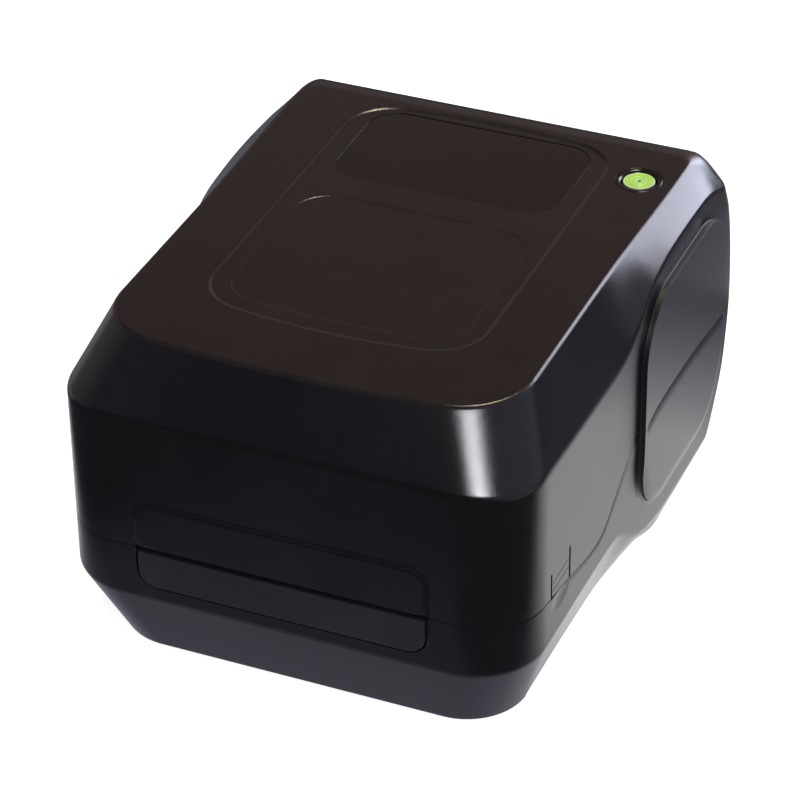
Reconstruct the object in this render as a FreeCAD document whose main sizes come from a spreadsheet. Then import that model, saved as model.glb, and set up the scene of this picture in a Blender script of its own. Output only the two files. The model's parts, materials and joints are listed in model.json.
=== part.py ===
import FreeCAD, Part
import math, os
import Sketcher
from FreeCAD import Vector, Placement, Rotation

# Desktop thermal label printer. Millimetres, +Z up, front faces -Y,
# origin on the floor under the middle of the printer.

doc = FreeCAD.newDocument("label_printer")
dims = doc.addObject("Spreadsheet::Sheet", "dims")
SIZES = [
    # housing
    ("half_w", 112.0), ("depth_half", 142.0), ("top_z", 167.0), ("bottom_z", 2.5), ("wall", 2.6),
    ("ridge_half", 97.2), ("top_front_inset", 19.0), ("low_side_inset", 14.0), ("low_rear_inset", 5.0), ("low_front_inset", 17.4),
    ("crease_z", 42.8), ("chamfer_z", 135.5), ("chamfer_rear_z", 155.0), ("crease_rear_z", 15.2),
    ("corner_low_r", 29.0), ("corner_r", 32.0), ("corner_top_r", 27.0), ("corner_rear_r", 9.0),
    ("ceiling_z", 162.4), ("disc_rise", 3.0), ("seam_gap", 0.6), ("pad_rise", 1.2), ("pad_half", 70.0),
    ("pad_top_z", 95.0), ("pad_low_z", 50.0), ("pad_r", 9.5), ("slot_low_z", 67.9), ("slot_top_z", 71.3),
    ("slot_half", 69.4), ("field_half", 65.4), ("field_front", -87.0), ("field_rear", 108.0),
    ("field_deep", 0.6), ("field_r", 24.0), ("window_half", 55.6), ("window_front", 38.3),
    ("window_rear", 103.0), ("window_r", 15.0), ("window_thick", 1.1),
    ("foot_r", 9.0), ("foot_x", 74.0), ("foot_front_y", -104.0), ("foot_rear_y", 72.0),
    # hinge
    ("hinge_y", 133.0), ("hinge_z", 92.0), ("hinge_pin_r", 3.0), ("hinge_relief_r", 16.6),
    # platen and drive
    ("platen_y", -118.0), ("platen_z", 60.4), ("platen_r", 9.0), ("platen_half", 60.0), ("platen_core_r", 4.5),
    ("platen_shaft_r", 3.0), ("bracket_t", 2.0), ("bracket_x", 69.0), ("tooth_module", 0.8),
    ("motor_side", 42.0), ("motor_len", 34.0), ("motor_shaft_r", 2.5), ("stud_r", 2.0),
    # media bay
    ("roll_y", 62.0), ("roll_z", 78.0), ("trough_r", 61.0), ("trough_t", 2.0), ("deck_z", 66.2),
    ("deck_t", 2.4), ("holder_x", 61.5), ("holder_t", 4.0), ("hub_r", 12.4), ("hub_flange_r", 20.0),
    ("axle_r", 4.0), ("rack_pinion_r", 6.4), ("rack_z", 6.7), ("rack_t", 3.0),
    ("sensor_y", -37.0), ("sensor_z", 58.0), ("sensor_rod_r", 2.0),
    # ribbon and print head
    ("ribbon_plate_x", 63.0), ("ribbon_plate_t", 2.5), ("supply_y", -24.0), ("takeup_y", -92.0),
    ("spindle_z", 120.0), ("spindle_core_r", 9.0), ("spindle_fin_r", 12.2), ("spindle_half", 62.4),
    ("spindle_shaft_r", 4.0), ("head_pivot_y", -62.0), ("head_pivot_z", 90.0), ("head_pivot_r", 3.0),
    ("head_z", 70.1), ("head_half", 58.0), ("frame_z", 154.0), ("frame_t", 3.0),
    # controls and ports
    ("button_x", 82.1), ("button_y", 84.0), ("button_r", 7.7), ("bezel_in_r", 7.95), ("bezel_out_r", 11.0),
    ("latch_front_y", -105.0), ("latch_rear_y", -81.1), ("latch_top_z", 79.2), ("latch_t", 2.5),
    ("rocker_y", 134.5), ("rocker_z", 59.5), ("rocker_pin_r", 1.2), ("jack_r", 3.2), ("jack_z", 38.0), ("jack_x", 80.0),
    ("clear", 0.3), ("run", 0.06),
]
for row, (name, value) in enumerate(SIZES, 1):
    dims.set("A%d" % row, name.replace("_", " "))
    dims.set("B%d" % row, repr(value))
    dims.setAlias("B%d" % row, name)
doc.recompute()
D = dict((name, float(dims.get(name))) for name, value in SIZES)
ROT_X = Rotation(Vector(0, 1, 0), 90)
ROT_Y = Rotation(Vector(1, 0, 0), -90)
NODES = []


def bind(obj, prop, expr):
    if isinstance(expr, str):
        obj.setExpression(prop, expr)
    else:
        setattr(obj, prop, expr)


def place(obj, xyz, rot=None):
    base = [0.0 if isinstance(c, str) else float(c) for c in xyz]
    obj.Placement = Placement(Vector(*base), rot or Rotation())
    for axis, c in zip("xyz", xyz):
        if isinstance(c, str):
            obj.setExpression(".Placement.Base." + axis, c)
    return obj


def box(name, xyz, size):
    o = doc.addObject("Part::Box", name)
    for prop, e in zip(("Length", "Width", "Height"), size):
        bind(o, prop, e)
    return place(o, xyz)


def cyl(name, axis, r, length, xyz):
    o = doc.addObject("Part::Cylinder", name)
    bind(o, "Radius", r)
    bind(o, "Height", length)
    return place(o, xyz, {"X": ROT_X, "Y": ROT_Y, "Z": None}[axis])


def fuse(name, parts):
    o = doc.addObject("Part::MultiFuse", name)
    o.Shapes = parts
    o.Refine = True
    return o


def cut(name, base, tools):
    tool = tools[0] if len(tools) == 1 else fuse(name + "_cutters", tools)
    o = doc.addObject("Part::Cut", name)
    o.Base, o.Tool = base, tool
    return o


def common(name, a, b):
    o = doc.addObject("Part::Common", name)
    o.Base, o.Tool = a, b
    return o


def node(obj, label):
    obj.Label = label
    NODES.append(obj)
    return obj


def shape_node(label, shape):
    o = doc.addObject("Part::Feature", label)
    o.Shape = shape
    return node(o, label)


def plane_of(body, role):
    return [f for f in body.Origin.OriginFeatures if f.Role == role][0]


def plate(label, role, offset, outline, thick, holes=()):
    """Sheet part: one sketch (outline plus round holes) padded by thick."""
    body = doc.addObject("PartDesign::Body", label)
    sk = body.newObject("Sketcher::SketchObject", label + "_sketch")
    sk.AttachmentSupport = [(plane_of(body, role), "")]
    sk.MapMode = "FlatFace"
    sk.AttachmentOffset = Placement(Vector(0, 0, offset), Rotation())
    n = len(outline)
    pts = [Vector(a, b, 0) for a, b in outline]
    ids = [sk.addGeometry(Part.LineSegment(pts[i], pts[(i + 1) % n]), False) for i in range(n)]
    for i in range(n):
        sk.addConstraint(Sketcher.Constraint("Coincident", ids[i], 2, ids[(i + 1) % n], 1))
    for a, b, r in holes:
        rv = D[r[5:].split(" ")[0]] if isinstance(r, str) else r
        g = sk.addGeometry(Part.Circle(Vector(a, b, 0), Vector(0, 0, 1), rv), False)
        c = sk.addConstraint(Sketcher.Constraint("Radius", g, rv))
        if isinstance(r, str):
            sk.setExpression("Constraints[%d]" % c, r)
    pad = body.newObject("PartDesign::Pad", label + "_pad")
    pad.Profile = sk
    bind(pad, "Length", thick)
    body.Tip = pad
    return body


def line(a, b):
    return Part.LineSegment(a, b).toShape()


def outline(hw, yf, yr, rf, rr, z):
    def arc(cx, cy, r, a0):
        p = [Vector(cx + r * math.cos(math.radians(a0 + k)), cy + r * math.sin(math.radians(a0 + k)), z)
             for k in (0, 45, 90)]
        return Part.Arc(*p).toShape()
    e = [line(Vector(-hw + rf, yf, z), Vector(hw - rf, yf, z)), arc(hw - rf, yf + rf, rf, 270),
         line(Vector(hw, yf + rf, z), Vector(hw, yr - rr, z)), arc(hw - rr, yr - rr, rr, 0),
         line(Vector(hw - rr, yr, z), Vector(-hw + rr, yr, z)), arc(-hw + rr, yr - rr, rr, 90),
         line(Vector(-hw, yr - rr, z), Vector(-hw, yf + rf, z)), arc(-hw + rf, yf + rf, rf, 180)]
    return Part.Wire(e)


def rounded(a0, a1, b0, b1, r, put):
    """Closed rounded rectangle in (a, b); put(a, b) gives the 3-D point."""
    k = r * (1 - math.sqrt(0.5))
    pts = [(a0 + r, b0), (a1 - r, b0), (a1 - k, b0 + k), (a1, b0 + r), (a1, b1 - r), (a1 - k, b1 - k),
           (a1 - r, b1), (a0 + r, b1), (a0 + k, b1 - k), (a0, b1 - r), (a0, b0 + r), (a0 + k, b0 + k)]
    p = [put(a, b) for a, b in pts]
    return Part.Wire([line(p[0], p[1]), Part.Arc(p[1], p[2], p[3]).toShape(), line(p[3], p[4]),
                      Part.Arc(p[4], p[5], p[6]).toShape(), line(p[6], p[7]),
                      Part.Arc(p[7], p[8], p[9]).toShape(), line(p[9], p[10]),
                      Part.Arc(p[10], p[11], p[0]).toShape()])


def prism(wire, vec):
    return Part.Face(wire).extrude(vec)


def solid_box(x0, x1, y0, y1, z0, z1):
    return Part.makeBox(x1 - x0, y1 - y0, z1 - z0, Vector(x0, y0, z0))


def x_cyl(r, x0, x1, y, z):
    return Part.makeCylinder(r, x1 - x0, Vector(x0, y, z), Vector(1, 0, 0))


def z_cyl(r, z0, z1, x, y):
    return Part.makeCylinder(r, z1 - z0, Vector(x, y, z0), Vector(0, 0, 1))


def spline(pts, x):
    c = Part.BSplineCurve()
    c.interpolate([Vector(x, y, z) for y, z in pts])
    return c.toShape()


# ---------------------------------------------------------------- housing
HW, DH, TOP, BOT, WALL = D["half_w"], D["depth_half"], D["top_z"], D["bottom_z"], D["wall"]
REAR = DH + D["pad_rise"]
REAR_CURVE = [(104.5, TOP + 0.7), (111.5, TOP + 0.15), (117.5, 166.5), (122.0, 165.1), (126.2, 161.6), (129.8, 155.4), (134.4, 144.5), (138.6, 131.5),
              (141.6, 116.0), (REAR, 92.0), (142.6, 74.0), (140.2, 57.0), (136.6, 41.5), (129.4, 28.5), (116.0, 14.5),
              (101.0, 6.2), (88.0, BOT)]


def inset(pts, d):
    out = []
    for i, (y, z) in enumerate(pts):
        a, b = pts[max(i - 1, 0)], pts[min(i + 1, len(pts) - 1)]
        ty, tz = b[0] - a[0], b[1] - a[1]
        n = math.hypot(ty, tz)
        out.append((y + d * tz / n, z - d * ty / n))
    return out


def side_profile(curve, y_front, z_low, z_high):
    c = spline(curve, -130.0)
    a, b = Vector(-130, *curve[0]), Vector(-130, *curve[-1])
    p = [a, Vector(-130, curve[0][0], z_high), Vector(-130, y_front, z_high), Vector(-130, y_front, z_low),
         Vector(-130, curve[-1][0], z_low), b]
    e = [line(p[i], p[i + 1]) for i in range(5) if p[i].distanceToPoint(p[i + 1]) > 1e-6]
    return prism(Part.Wire(Part.__sortEdges__(e + [c])), Vector(260, 0, 0))


def ease(u):
    u = min(max(u, 0.0), 1.0)
    return u * u * (3 - 2 * u)


def frustum(z, hw, yf, yr, rf, rr):
    parts = []
    for i in range(len(z) - 1):
        w = [outline(hw[k], yf[k], yr, rf[k], rr, z[k]) for k in (i, i + 1)]
        parts.append(Part.makeLoft(w, True, True))
    s = parts[0]
    for q in parts[1:]:
        s = s.fuse(q)
    return s.removeSplitter()


outer = frustum([BOT, D["crease_z"], D["chamfer_z"], TOP],
                [HW - D["low_side_inset"], HW, HW, D["ridge_half"]],
                [-DH + D["low_front_inset"], -DH, -DH, -DH + D["top_front_inset"]], REAR,
                [D["corner_low_r"], D["corner_r"], D["corner_r"], D["corner_top_r"]], D["corner_rear_r"])


def side_fill(sign, z_far, z_near, z_tip, x_tip, x_lean, x_grow=0.0):
    """Side wall that grows to full height towards the rear, its far edge x_grow wider there."""
    wires = []
    for y in (-22, -14, -6, 2, 10, 18, 26, 36, 48, 150):
        u = ease((y + 24.0) / 70.0)
        z = z_near + (z_far - z_near) * max(u, 0.01)
        p = [Vector(sign * (x_tip - 3), y, z_tip), Vector(sign * (HW - 3), y, z_near), Vector(sign * HW, y, z_near),
             Vector(sign * (HW - x_lean * u), y, z), Vector(sign * (x_tip + x_grow * u), y, z_tip)]
        wires.append(Part.makePolygon(p + [p[0]]))
    return Part.makeLoft(wires, True, True)


keep = prism(outline(HW, -DH, REAR, D["corner_r"], D["corner_rear_r"], 0.0), Vector(0, 0, 200))
for sign in (-1, 1):
    outer = outer.fuse(side_fill(sign, D["chamfer_rear_z"], D["chamfer_z"], TOP, D["ridge_half"], 1.5).common(keep))
    outer = outer.fuse(side_fill(sign, D["crease_rear_z"], D["crease_z"], BOT, HW - D["low_side_inset"], 0.0,
                                  D["low_side_inset"] - D["low_rear_inset"]).common(keep))
outer = outer.common(side_profile(REAR_CURVE, -160.0, BOT - 5, TOP + 5))
cavity = frustum([BOT + WALL, D["crease_z"] + 1.0, D["chamfer_z"] - 1.0, D["ceiling_z"]],
                 [95.6, HW - WALL, HW - WALL, 96.5], [-122.9, -DH + WALL, -DH + WALL, -122.8], REAR - WALL,
                 [26.0, D["corner_r"] - WALL, D["corner_r"] - WALL, 25.0], D["corner_rear_r"] - WALL)
cavity = cavity.common(side_profile(inset(REAR_CURVE, WALL + 0.2), -160.0, BOT - 9, TOP + 9))
for sign in (-1, 1):
    r = D["disc_rise"]
    foot = rounded(7.0, 120.5, 29.5, 146.0, 32.0, lambda a, b: Vector(sign * HW, a, b))
    face = rounded(9.5, 118.0, 32.0, 143.5, 29.5, lambda a, b: Vector(sign * (HW + r), a, b))
    outer = outer.fuse(Part.makeLoft([foot, face], True, True))
    outer = outer.fuse(prism(foot, Vector(-sign * 2.0, 0, 0)))
SEAM = [(-150, 70.0), (-142, 70.0), (-130, 69.8), (-117, 68.6), (-105, 65.8), (-81, 61.8), (-64, 58.3), (-50, 56.4),
        (-44, 56.3), (-38, 57.8), (-30, 62.5), (-18.7, 70.2), (-7.4, 76.9), (5.8, 82.3), (14, 85.0), (28.6, 87.0),
        (51, 87.0), (73.4, 86.2), (99, 83.8), (118, 81.7), (143, 79.8), (152, 79.3)]


def seam_region(shift, z_end):
    pts = [(y, z + shift) for y, z in SEAM]
    c = spline(pts, -125.0)
    a, b = Vector(-125, *pts[0]), Vector(-125, *pts[-1])
    ca, cb = Vector(-125, pts[0][0], z_end), Vector(-125, pts[-1][0], z_end)
    return prism(Part.Wire([c, line(b, cb), line(cb, ca), line(ca, a)]), Vector(250, 0, 0))


hull = outer.cut(cavity)
half_gap = D["seam_gap"] / 2
cover = hull.common(seam_region(half_gap, 200.0))
base = hull.common(seam_region(-half_gap, -20.0))

# cover: exit slot, raised front pad, sunk top field, window seat, button hole, latch windows, hinge notches
flat = lambda z: (lambda a, b: Vector(a, b, z))
pad_up = prism(rounded(-D["pad_half"], D["pad_half"], 40.0, D["pad_top_z"], D["pad_r"],
                       lambda a, b: Vector(a, -DH - D["pad_rise"], b)), Vector(0, 2.0, 0))
cover = cover.fuse(pad_up.common(solid_box(-90, 90, -150, -130, 70.0 + half_gap, 120)))
cuts = [solid_box(-D["slot_half"], D["slot_half"], -150, -134, 60, D["slot_top_z"])]
cuts.append(prism(rounded(-D["field_half"], D["field_half"], D["field_front"], D["field_rear"], D["field_r"],
                          flat(TOP - D["field_deep"])), Vector(0, 0, 5)))
wh, wf, wr, wrad = D["window_half"], D["window_front"], D["window_rear"], D["window_r"]
seat_z = TOP - D["field_deep"] - 0.3 - D["window_thick"] - 0.1
cuts.append(prism(rounded(-wh - .3, wh + .3, wf - .3, wr + .3, wrad, flat(seat_z)), Vector(0, 0, 5)))
cuts.append(prism(rounded(-wh + 5, wh - 5, wf + 5, wr - 5, wrad - 4, flat(150.0)), Vector(0, 0, 20)))
cuts.append(z_cyl(D["bezel_out_r"] + 0.1, 150, 175, D["button_x"], D["button_y"]))
for s in (-1, 1):
    cuts.append(solid_box(min(s * 100, s * 120), max(s * 100, s * 120), D["latch_front_y"], D["latch_rear_y"], 55, D["latch_top_z"]))
    cuts.append(solid_box(min(s * 89.8, s * 94.8), max(s * 89.8, s * 94.8), 122, 150, 70, 101))
for c in cuts:
    cover = cover.cut(c)
for x, y, z0, r in ((-56, -92, 157.1, 4), (56, -92, 157.1, 4), (-80, 109, 157.1, 4), (80, 109, 157.1, 4),
                    (71.5, 73.5, 149.8, 2.5), (92.7, 94.5, 149.8, 2.5)):
    cover = cover.fuse(z_cyl(r, z0, D["ceiling_z"] + 0.5, x, y))
cover = cover.removeSplitter()
shape_node("top_cover", cover)

# base: front panel opening, hinge relief, rear slot, port openings, posts and ribs
cuts = [prism(rounded(-69.8, 69.8, 49.2, 120.0, 9.8, lambda a, b: Vector(a, -150, b)), Vector(0, 14, 0)),
        x_cyl(D["hinge_relief_r"], -130, 130, D["hinge_y"], D["hinge_z"]),
        solid_box(-60, 60, 120, 150, 61.5, 70.5),
        solid_box(72.2, 87.1, 112, 150, 49.2, 69.8),
        solid_box(72.2, 87.1, 112, 150, 31.2, 44.8),
        solid_box(-88.4, -72.2, 112, 150, 49.6, 64.4),
        solid_box(-86.9, -72.2, 112, 150, 32.6, 44.9)]
for c in cuts:
    base = base.cut(c)
for s in (-1, 1):
    base = base.fuse(z_cyl(4.0, BOT + 1, D["deck_z"] - D["deck_t"] - 0.05, s * 60.0, -16.0))
    base = base.fuse(solid_box(min(s * 86, s * 94), max(s * 86, s * 94), 86, 100, BOT + 1.5, 15.9).common(cavity.fuse(hull)))
base = base.fuse(solid_box(-58, 58, 84, 86.5, BOT + 1, 18.9))
for x, y in ((-20, -100), (45, -100), (-20, -24), (45, -24)):
    base = base.fuse(z_cyl(3.0, BOT + 1, 13.95, x, y))
# the rear wall between the corners is a moulding of its own, with the sockets and the fan-fold slot
rear_wall = base.common(solid_box(-95.8, 95.8, 112, 150, 26.2, 90))
base = base.cut(solid_box(-96.0, 96.0, 112, 150, 26.0, 90))
base = base.removeSplitter()
shape_node("base_shell", base)
shape_node("rear_panel", rear_wall.removeSplitter())

# snap-in panel under the exit slot, raised like the pad above it
panel_face = rounded(-69.0, 69.0, D["pad_low_z"], D["pad_low_z"] + 60, 9.0, lambda a, b: Vector(a, -DH - D["pad_rise"], b))
panel = prism(panel_face, Vector(0, 3.4, 0)).common(solid_box(-90, 90, -160, -120, 0, D["slot_low_z"]))
for s in (-1, 1):
    panel = panel.fuse(solid_box(s * 55 - 5, s * 55 + 5, -140.2, -134.0, 52.0, 54.0))
shape_node("front_panel", panel.removeSplitter())

# ---------------------------------------------------------------- feet and screws
feet = [cyl("foot_%d" % i, "Z", "dims.foot_r", "dims.bottom_z", (("" if sx > 0 else "-") + "dims.foot_x", fy, 0.0))
        for i, (sx, fy) in enumerate(((1, "dims.foot_front_y"), (-1, "dims.foot_front_y"), (1, "dims.foot_rear_y"), (-1, "dims.foot_rear_y")))]
grp = doc.addObject("Part::Compound", "rubber_feet")
grp.Links = feet
node(grp, "rubber_feet")
screws = []
for i, x in enumerate((-60.0, 60.0)):
    screws.append(cyl("tray_screw_%d" % i, "Z", 3.0, 1.8, (x, -16.0, "dims.deck_z + 0.05")))
grp = doc.addObject("Part::Compound", "base_screws")
grp.Links = screws
node(grp, "base_screws")

# ---------------------------------------------------------------- media tray
ring = cut("trough_ring", cyl("trough_outer", "X", "dims.trough_r + dims.trough_t", 136.0, (-68.0, "dims.roll_y", "dims.roll_z")),
           [cyl("trough_inner", "X", "dims.trough_r", 140.0, (-70.0, "dims.roll_y", "dims.roll_z"))])
front_lip = common("trough_front", ring, box("trough_front_box", (-70.0, -5.0, 10.0), (140.0, 67.0, "dims.deck_z - 10")))
rear_lip = common("trough_rear", ring, box("trough_rear_box", (-70.0, 62.0, 10.0), (140.0, 70.0, 48.0)))
ends = []
for i, x in enumerate((-68.0, 66.0)):
    disc = cyl("bay_disc_%d" % i, "X", "dims.trough_r + dims.trough_t", 2.0, (x, "dims.roll_y", "dims.roll_z"))
    ends.append(common("bay_end_%d" % i, disc, box("bay_end_box_%d" % i, (x - 1, -5.0, 10.0), (4.0, 140.0, 50.0))))
deck = box("deck", (-66.0, -104.0, "dims.deck_z - dims.deck_t"), (132.0, 106.0, "dims.deck_t"))
lugs = [box("rod_lug_%d" % i, (x, -42.0, 54.0), (2.0, 10.0, "dims.deck_z - dims.deck_t - 54")) for i, x in enumerate((-64.0, 62.0))]
tray = fuse("tray_body", [front_lip, rear_lip] + ends + [deck] + lugs)
slots = [box("arm_slot_left", (-66.2, 50.0, 8.0), (54.2, 24.0, 20.0)), box("arm_slot_right", (12.0, 50.0, 8.0), (54.2, 24.0, 20.0)),
         box("sensor_slot", (-54.0, "dims.sensor_y - 2.2", 60.0), (108.0, 4.4, 10.0)),
         cyl("rod_bore", "X", "dims.sensor_rod_r + 0.02", 140.0, (-70.0, "dims.sensor_y", "dims.sensor_z"))]
node(cut("tray_cut", tray, slots), "media_tray")
node(cyl("sensor_rod_bar", "X", "dims.sensor_rod_r", 130.0, (-65.0, "dims.sensor_y", "dims.sensor_z")), "sensor_rod")
sens = fuse("sensor_block", [box("sensor_foot", (-7.0, "dims.sensor_y - 5", 54.4), (14.0, 10.0, 9.0)),
                             box("sensor_eye", (-4.0, "dims.sensor_y - 1.6", 62.0), (8.0, 3.2, 3.9))])
node(cut("sensor_cut", sens, [cyl("sensor_bore", "X", "dims.sensor_rod_r + dims.run", 20.0, (-10.0, "dims.sensor_y", "dims.sensor_z"))]), "media_sensor")

# roll holders with racks, hubs and the pinion between the racks
RY, RZ = D["roll_y"], D["roll_z"]


def rack_teeth(x0, x1, y_pitch, toward, z0, t, phase):
    """Rack along X; toward is the side (+1/-1 in Y) where the teeth point."""
    m = D["tooth_module"]
    p = math.pi * m
    half, back = p / 4 - 0.09, 4.2
    pts = [Vector(x0, y_pitch - toward * back, z0)]
    n0, n1 = int(math.ceil((x0 - phase) / p + 0.5)), int(math.floor((x1 - phase) / p - 0.5))
    add, ded, tn = 0.85 * m, 1.2 * m, math.tan(math.radians(20))
    pts.append(Vector(x0, y_pitch - toward * ded, z0))
    for k in range(n0, n1 + 1):
        c = phase + k * p
        for dx, h in ((-half - ded * tn, -ded), (-half + add * tn, add), (half - add * tn, add), (half + ded * tn, -ded)):
            pts.append(Vector(c + dx, y_pitch + toward * h, z0))
    pts += [Vector(x1, y_pitch - toward * ded, z0), Vector(x1, y_pitch - toward * back, z0)]
    return prism(Part.makePolygon(pts + [pts[0]]), Vector(0, 0, t))


def holder(sign):
    x0 = D["holder_x"]
    lo, hi = min(sign * x0, sign * (x0 + D["holder_t"])), max(sign * x0, sign * (x0 + D["holder_t"]))
    arm = solid_box(lo, hi, 53.0, 71.0, 10.2, RZ).fuse(x_cyl(15.0, lo, hi, RY, RZ))
    arm = arm.cut(x_cyl(6.0, lo - 1, hi + 1, RY, 36.0))
    ax = sorted((sign * (x0 + 1.0), sign * (x0 - 9.8)))
    arm = arm.fuse(x_cyl(D["axle_r"], ax[0], ax[1], RY, RZ))
    yp = RY + sign * D["rack_pinion_r"]
    ends_x = sorted((sign * (x0 + D["holder_t"]), -sign * 8.0))
    rk = rack_teeth(ends_x[0], ends_x[1], yp, -sign, D["rack_z"], D["rack_t"], math.pi * D["tooth_module"] / 2 * 0)
    yl = sorted((yp + sign * 1.2, yp + sign * 4.2))
    return arm.fuse(rk).fuse(solid_box(lo, hi, yl[0], yl[1], D["rack_z"] + 1.0, 11.0)).removeSplitter()


shape_node("media_holder_left", holder(-1))
shape_node("media_holder_right", holder(1))
for s, nm in ((-1, "left"), (1, "right")):
    fx = s * D["holder_x"] - s * 0.4
    flange = cyl("hub_flange_" + nm, "X", "dims.hub_flange_r", 2.0, (min(fx, fx - 2 * s), "dims.roll_y", "dims.roll_z"))
    boss = cyl("hub_boss_" + nm, "X", "dims.hub_r", 8.0, (min(fx - 1.5 * s, fx - 9.5 * s), "dims.roll_y", "dims.roll_z"))
    bore = cyl("hub_bore_" + nm, "X", "dims.axle_r + dims.run", 12.0, (min(fx + s, fx - 11 * s), "dims.roll_y", "dims.roll_z"))
    node(cut("hub_cut_" + nm, fuse("hub_" + nm, [flange, boss]), [bore]), "holder_hub_" + nm)
guide = fuse("guide_body", [box("guide_plate", (-69.0, 47.0, 5.15), (138.0, 30.0, 1.2)),
                            cyl("pinion_stud", "Z", "dims.stud_r", 5.4, (0.0, "dims.roll_y", 5.2))])
node(guide, "rack_guide")


# ---------------------------------------------------------------- gears
def gear(teeth, cy, cz, x0, t, tooth_at, bore):
    """Spur gear about an X axis; tooth_at is the YZ angle (degrees) of one tooth's middle."""
    m = D["tooth_module"]
    r, base_r = teeth * m / 2, teeth * m / 2 * math.cos(math.radians(20))
    tip, root = r + 0.85 * m, r - 1.2 * m
    inv = lambda rr: math.sqrt(max((rr / base_r) ** 2 - 1, 0)) - math.acos(min(base_r / rr, 1.0))
    half = math.pi / (2 * teeth) - 0.11 / r + inv(r)
    pts = []
    start = max(base_r, root)
    for k in range(teeth):
        a0 = math.radians(tooth_at) + 2 * math.pi * k / teeth
        prof = [(root, half - inv(start))] if root < start else []
        prof += [(start + (tip - start) * j / 3.0, None) for j in range(4)]
        ang = [(rr, half - inv(rr) if h is None else h) for rr, h in prof]
        for rr, h in ang:
            pts.append((rr, a0 - h))
        for rr, h in reversed(ang):
            pts.append((rr, a0 + h))
    P = [Vector(x0, cy + rr * math.cos(a), cz + rr * math.sin(a)) for rr, a in pts]
    g = prism(Part.makePolygon(P + [P[0]]), Vector(t, 0, 0))
    return g.cut(x_cyl(bore, x0 - 1, x0 + t + 1, cy, cz)) if bore else g


m = D["tooth_module"]
N_MOTOR, N_BIG, N_SMALL, N_PLATEN = 18, 50, 20, 40
PY, PZ = D["platen_y"], D["platen_z"]
a1, a2 = -22.0, -35.0
d1, d2 = m * (N_SMALL + N_PLATEN) / 2, m * (N_MOTOR + N_BIG) / 2
IY, IZ = PY + d1 * math.cos(math.radians(a1)), PZ + d1 * math.sin(math.radians(a1))
MY, MZ = IY + d2 * math.cos(math.radians(a2)), IZ + d2 * math.sin(math.radians(a2))
shape_node("platen_gear", gear(N_PLATEN, PY, PZ, -78.0, 4.0, a1, D["platen_shaft_r"] + 0.02))
small = gear(N_SMALL, IY, IZ, -78.6, 4.4, a1 + 180 + 180.0 / N_SMALL, 0)
big = gear(N_BIG, IY, IZ, -83.0, 4.0, a2, 0)
idler = small.fuse(big).fuse(x_cyl(5.0, -83.0, -74.2, IY, IZ)).cut(x_cyl(D["stud_r"] + D["run"], -90, -70, IY, IZ))
shape_node("idler_gear", idler)
pinion = gear(N_MOTOR, MY, MZ, -83.2, 4.4, a2 + 180 + 180.0 / N_MOTOR, 0)
shape_node("motor_pinion", pinion.fuse(x_cyl(D["motor_shaft_r"], -83.6, -58.6, MY, MZ)))
stud = fuse("stud_body", [cyl("stud_pin", "X", "dims.stud_r", 15.4, (-84.4, IY, IZ)), cyl("stud_head", "X", 3.4, 1.0, (-84.4, IY, IZ))])
node(stud, "idler_stud")
motor = cut("motor_cut", fuse("motor_body", [box("motor_can", ("-dims.bracket_x + 0.1", MY - 21.0, MZ - 21.0), ("dims.motor_len", "dims.motor_side", "dims.motor_side")),
                                             cyl("motor_boss", "X", 11.0, 3.0, ("-dims.bracket_x - 1.9", MY, MZ))]),
            [cyl("motor_bore", "X", "dims.motor_shaft_r + dims.run", 24.0, (-82.0, MY, MZ))])
node(motor, "drive_motor")
left_outline = [(-112, 6.2), (-50, 6.2), (-50, 58), (-84, 62.5), (-104, 69), (-126, 69), (-129, 58), (-126, 30), (-120, 14)]
node(plate("platen_bracket_left", "YZ_Plane", -71.0, left_outline, "dims.bracket_t",
           [(PY, PZ, 5.45), (IY, IZ, 2.02), (MY, MZ, 11.2)]), "platen_bracket_left")
right_outline = [(-112, 6.2), (-70, 6.2), (-70, 40), (-104, 69), (-126, 69), (-129, 58), (-126, 30), (-120, 14)]
node(plate("platen_bracket_right", "YZ_Plane", 69.0, right_outline, "dims.bracket_t", [(PY, PZ, 5.45)]), "platen_bracket_right")
bush = []
for s in (-1, 1):
    b0 = sorted((s * 67.6, s * 72.6))[0]
    f0 = sorted((s * 67.6, s * 68.9))[0]
    bb = fuse("bush_%d" % s, [cyl("bush_body_%d" % s, "X", 5.4, 5.0, (b0, "dims.platen_y", "dims.platen_z")),
                              cyl("bush_flange_%d" % s, "X", 7.0, 1.3, (f0, "dims.platen_y", "dims.platen_z"))])
    bush.append(cut("bush_cut_%d" % s, bb, [cyl("bush_bore_%d" % s, "X", "dims.platen_shaft_r + 0.05", 8.0, (b0 - 1.5, "dims.platen_y", "dims.platen_z"))]))
grp = doc.addObject("Part::Compound", "platen_bushings")
grp.Links = bush
node(grp, "platen_bushings")
shaft = fuse("shaft_body", [cyl("shaft_ends", "X", "dims.platen_shaft_r", 152.4, (-78.2, "dims.platen_y", "dims.platen_z")),
                            cyl("shaft_core", "X", "dims.platen_core_r", 132.0, (-66.0, "dims.platen_y", "dims.platen_z"))])
node(shaft, "platen_shaft")
node(cut("sleeve_cut", cyl("sleeve_outer", "X", "dims.platen_r", "2 * dims.platen_half", ("-dims.platen_half", "dims.platen_y", "dims.platen_z")),
         [cyl("sleeve_bore", "X", "dims.platen_core_r + 0.02", 140.0, (-70.0, "dims.platen_y", "dims.platen_z"))]), "platen_sleeve")


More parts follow.
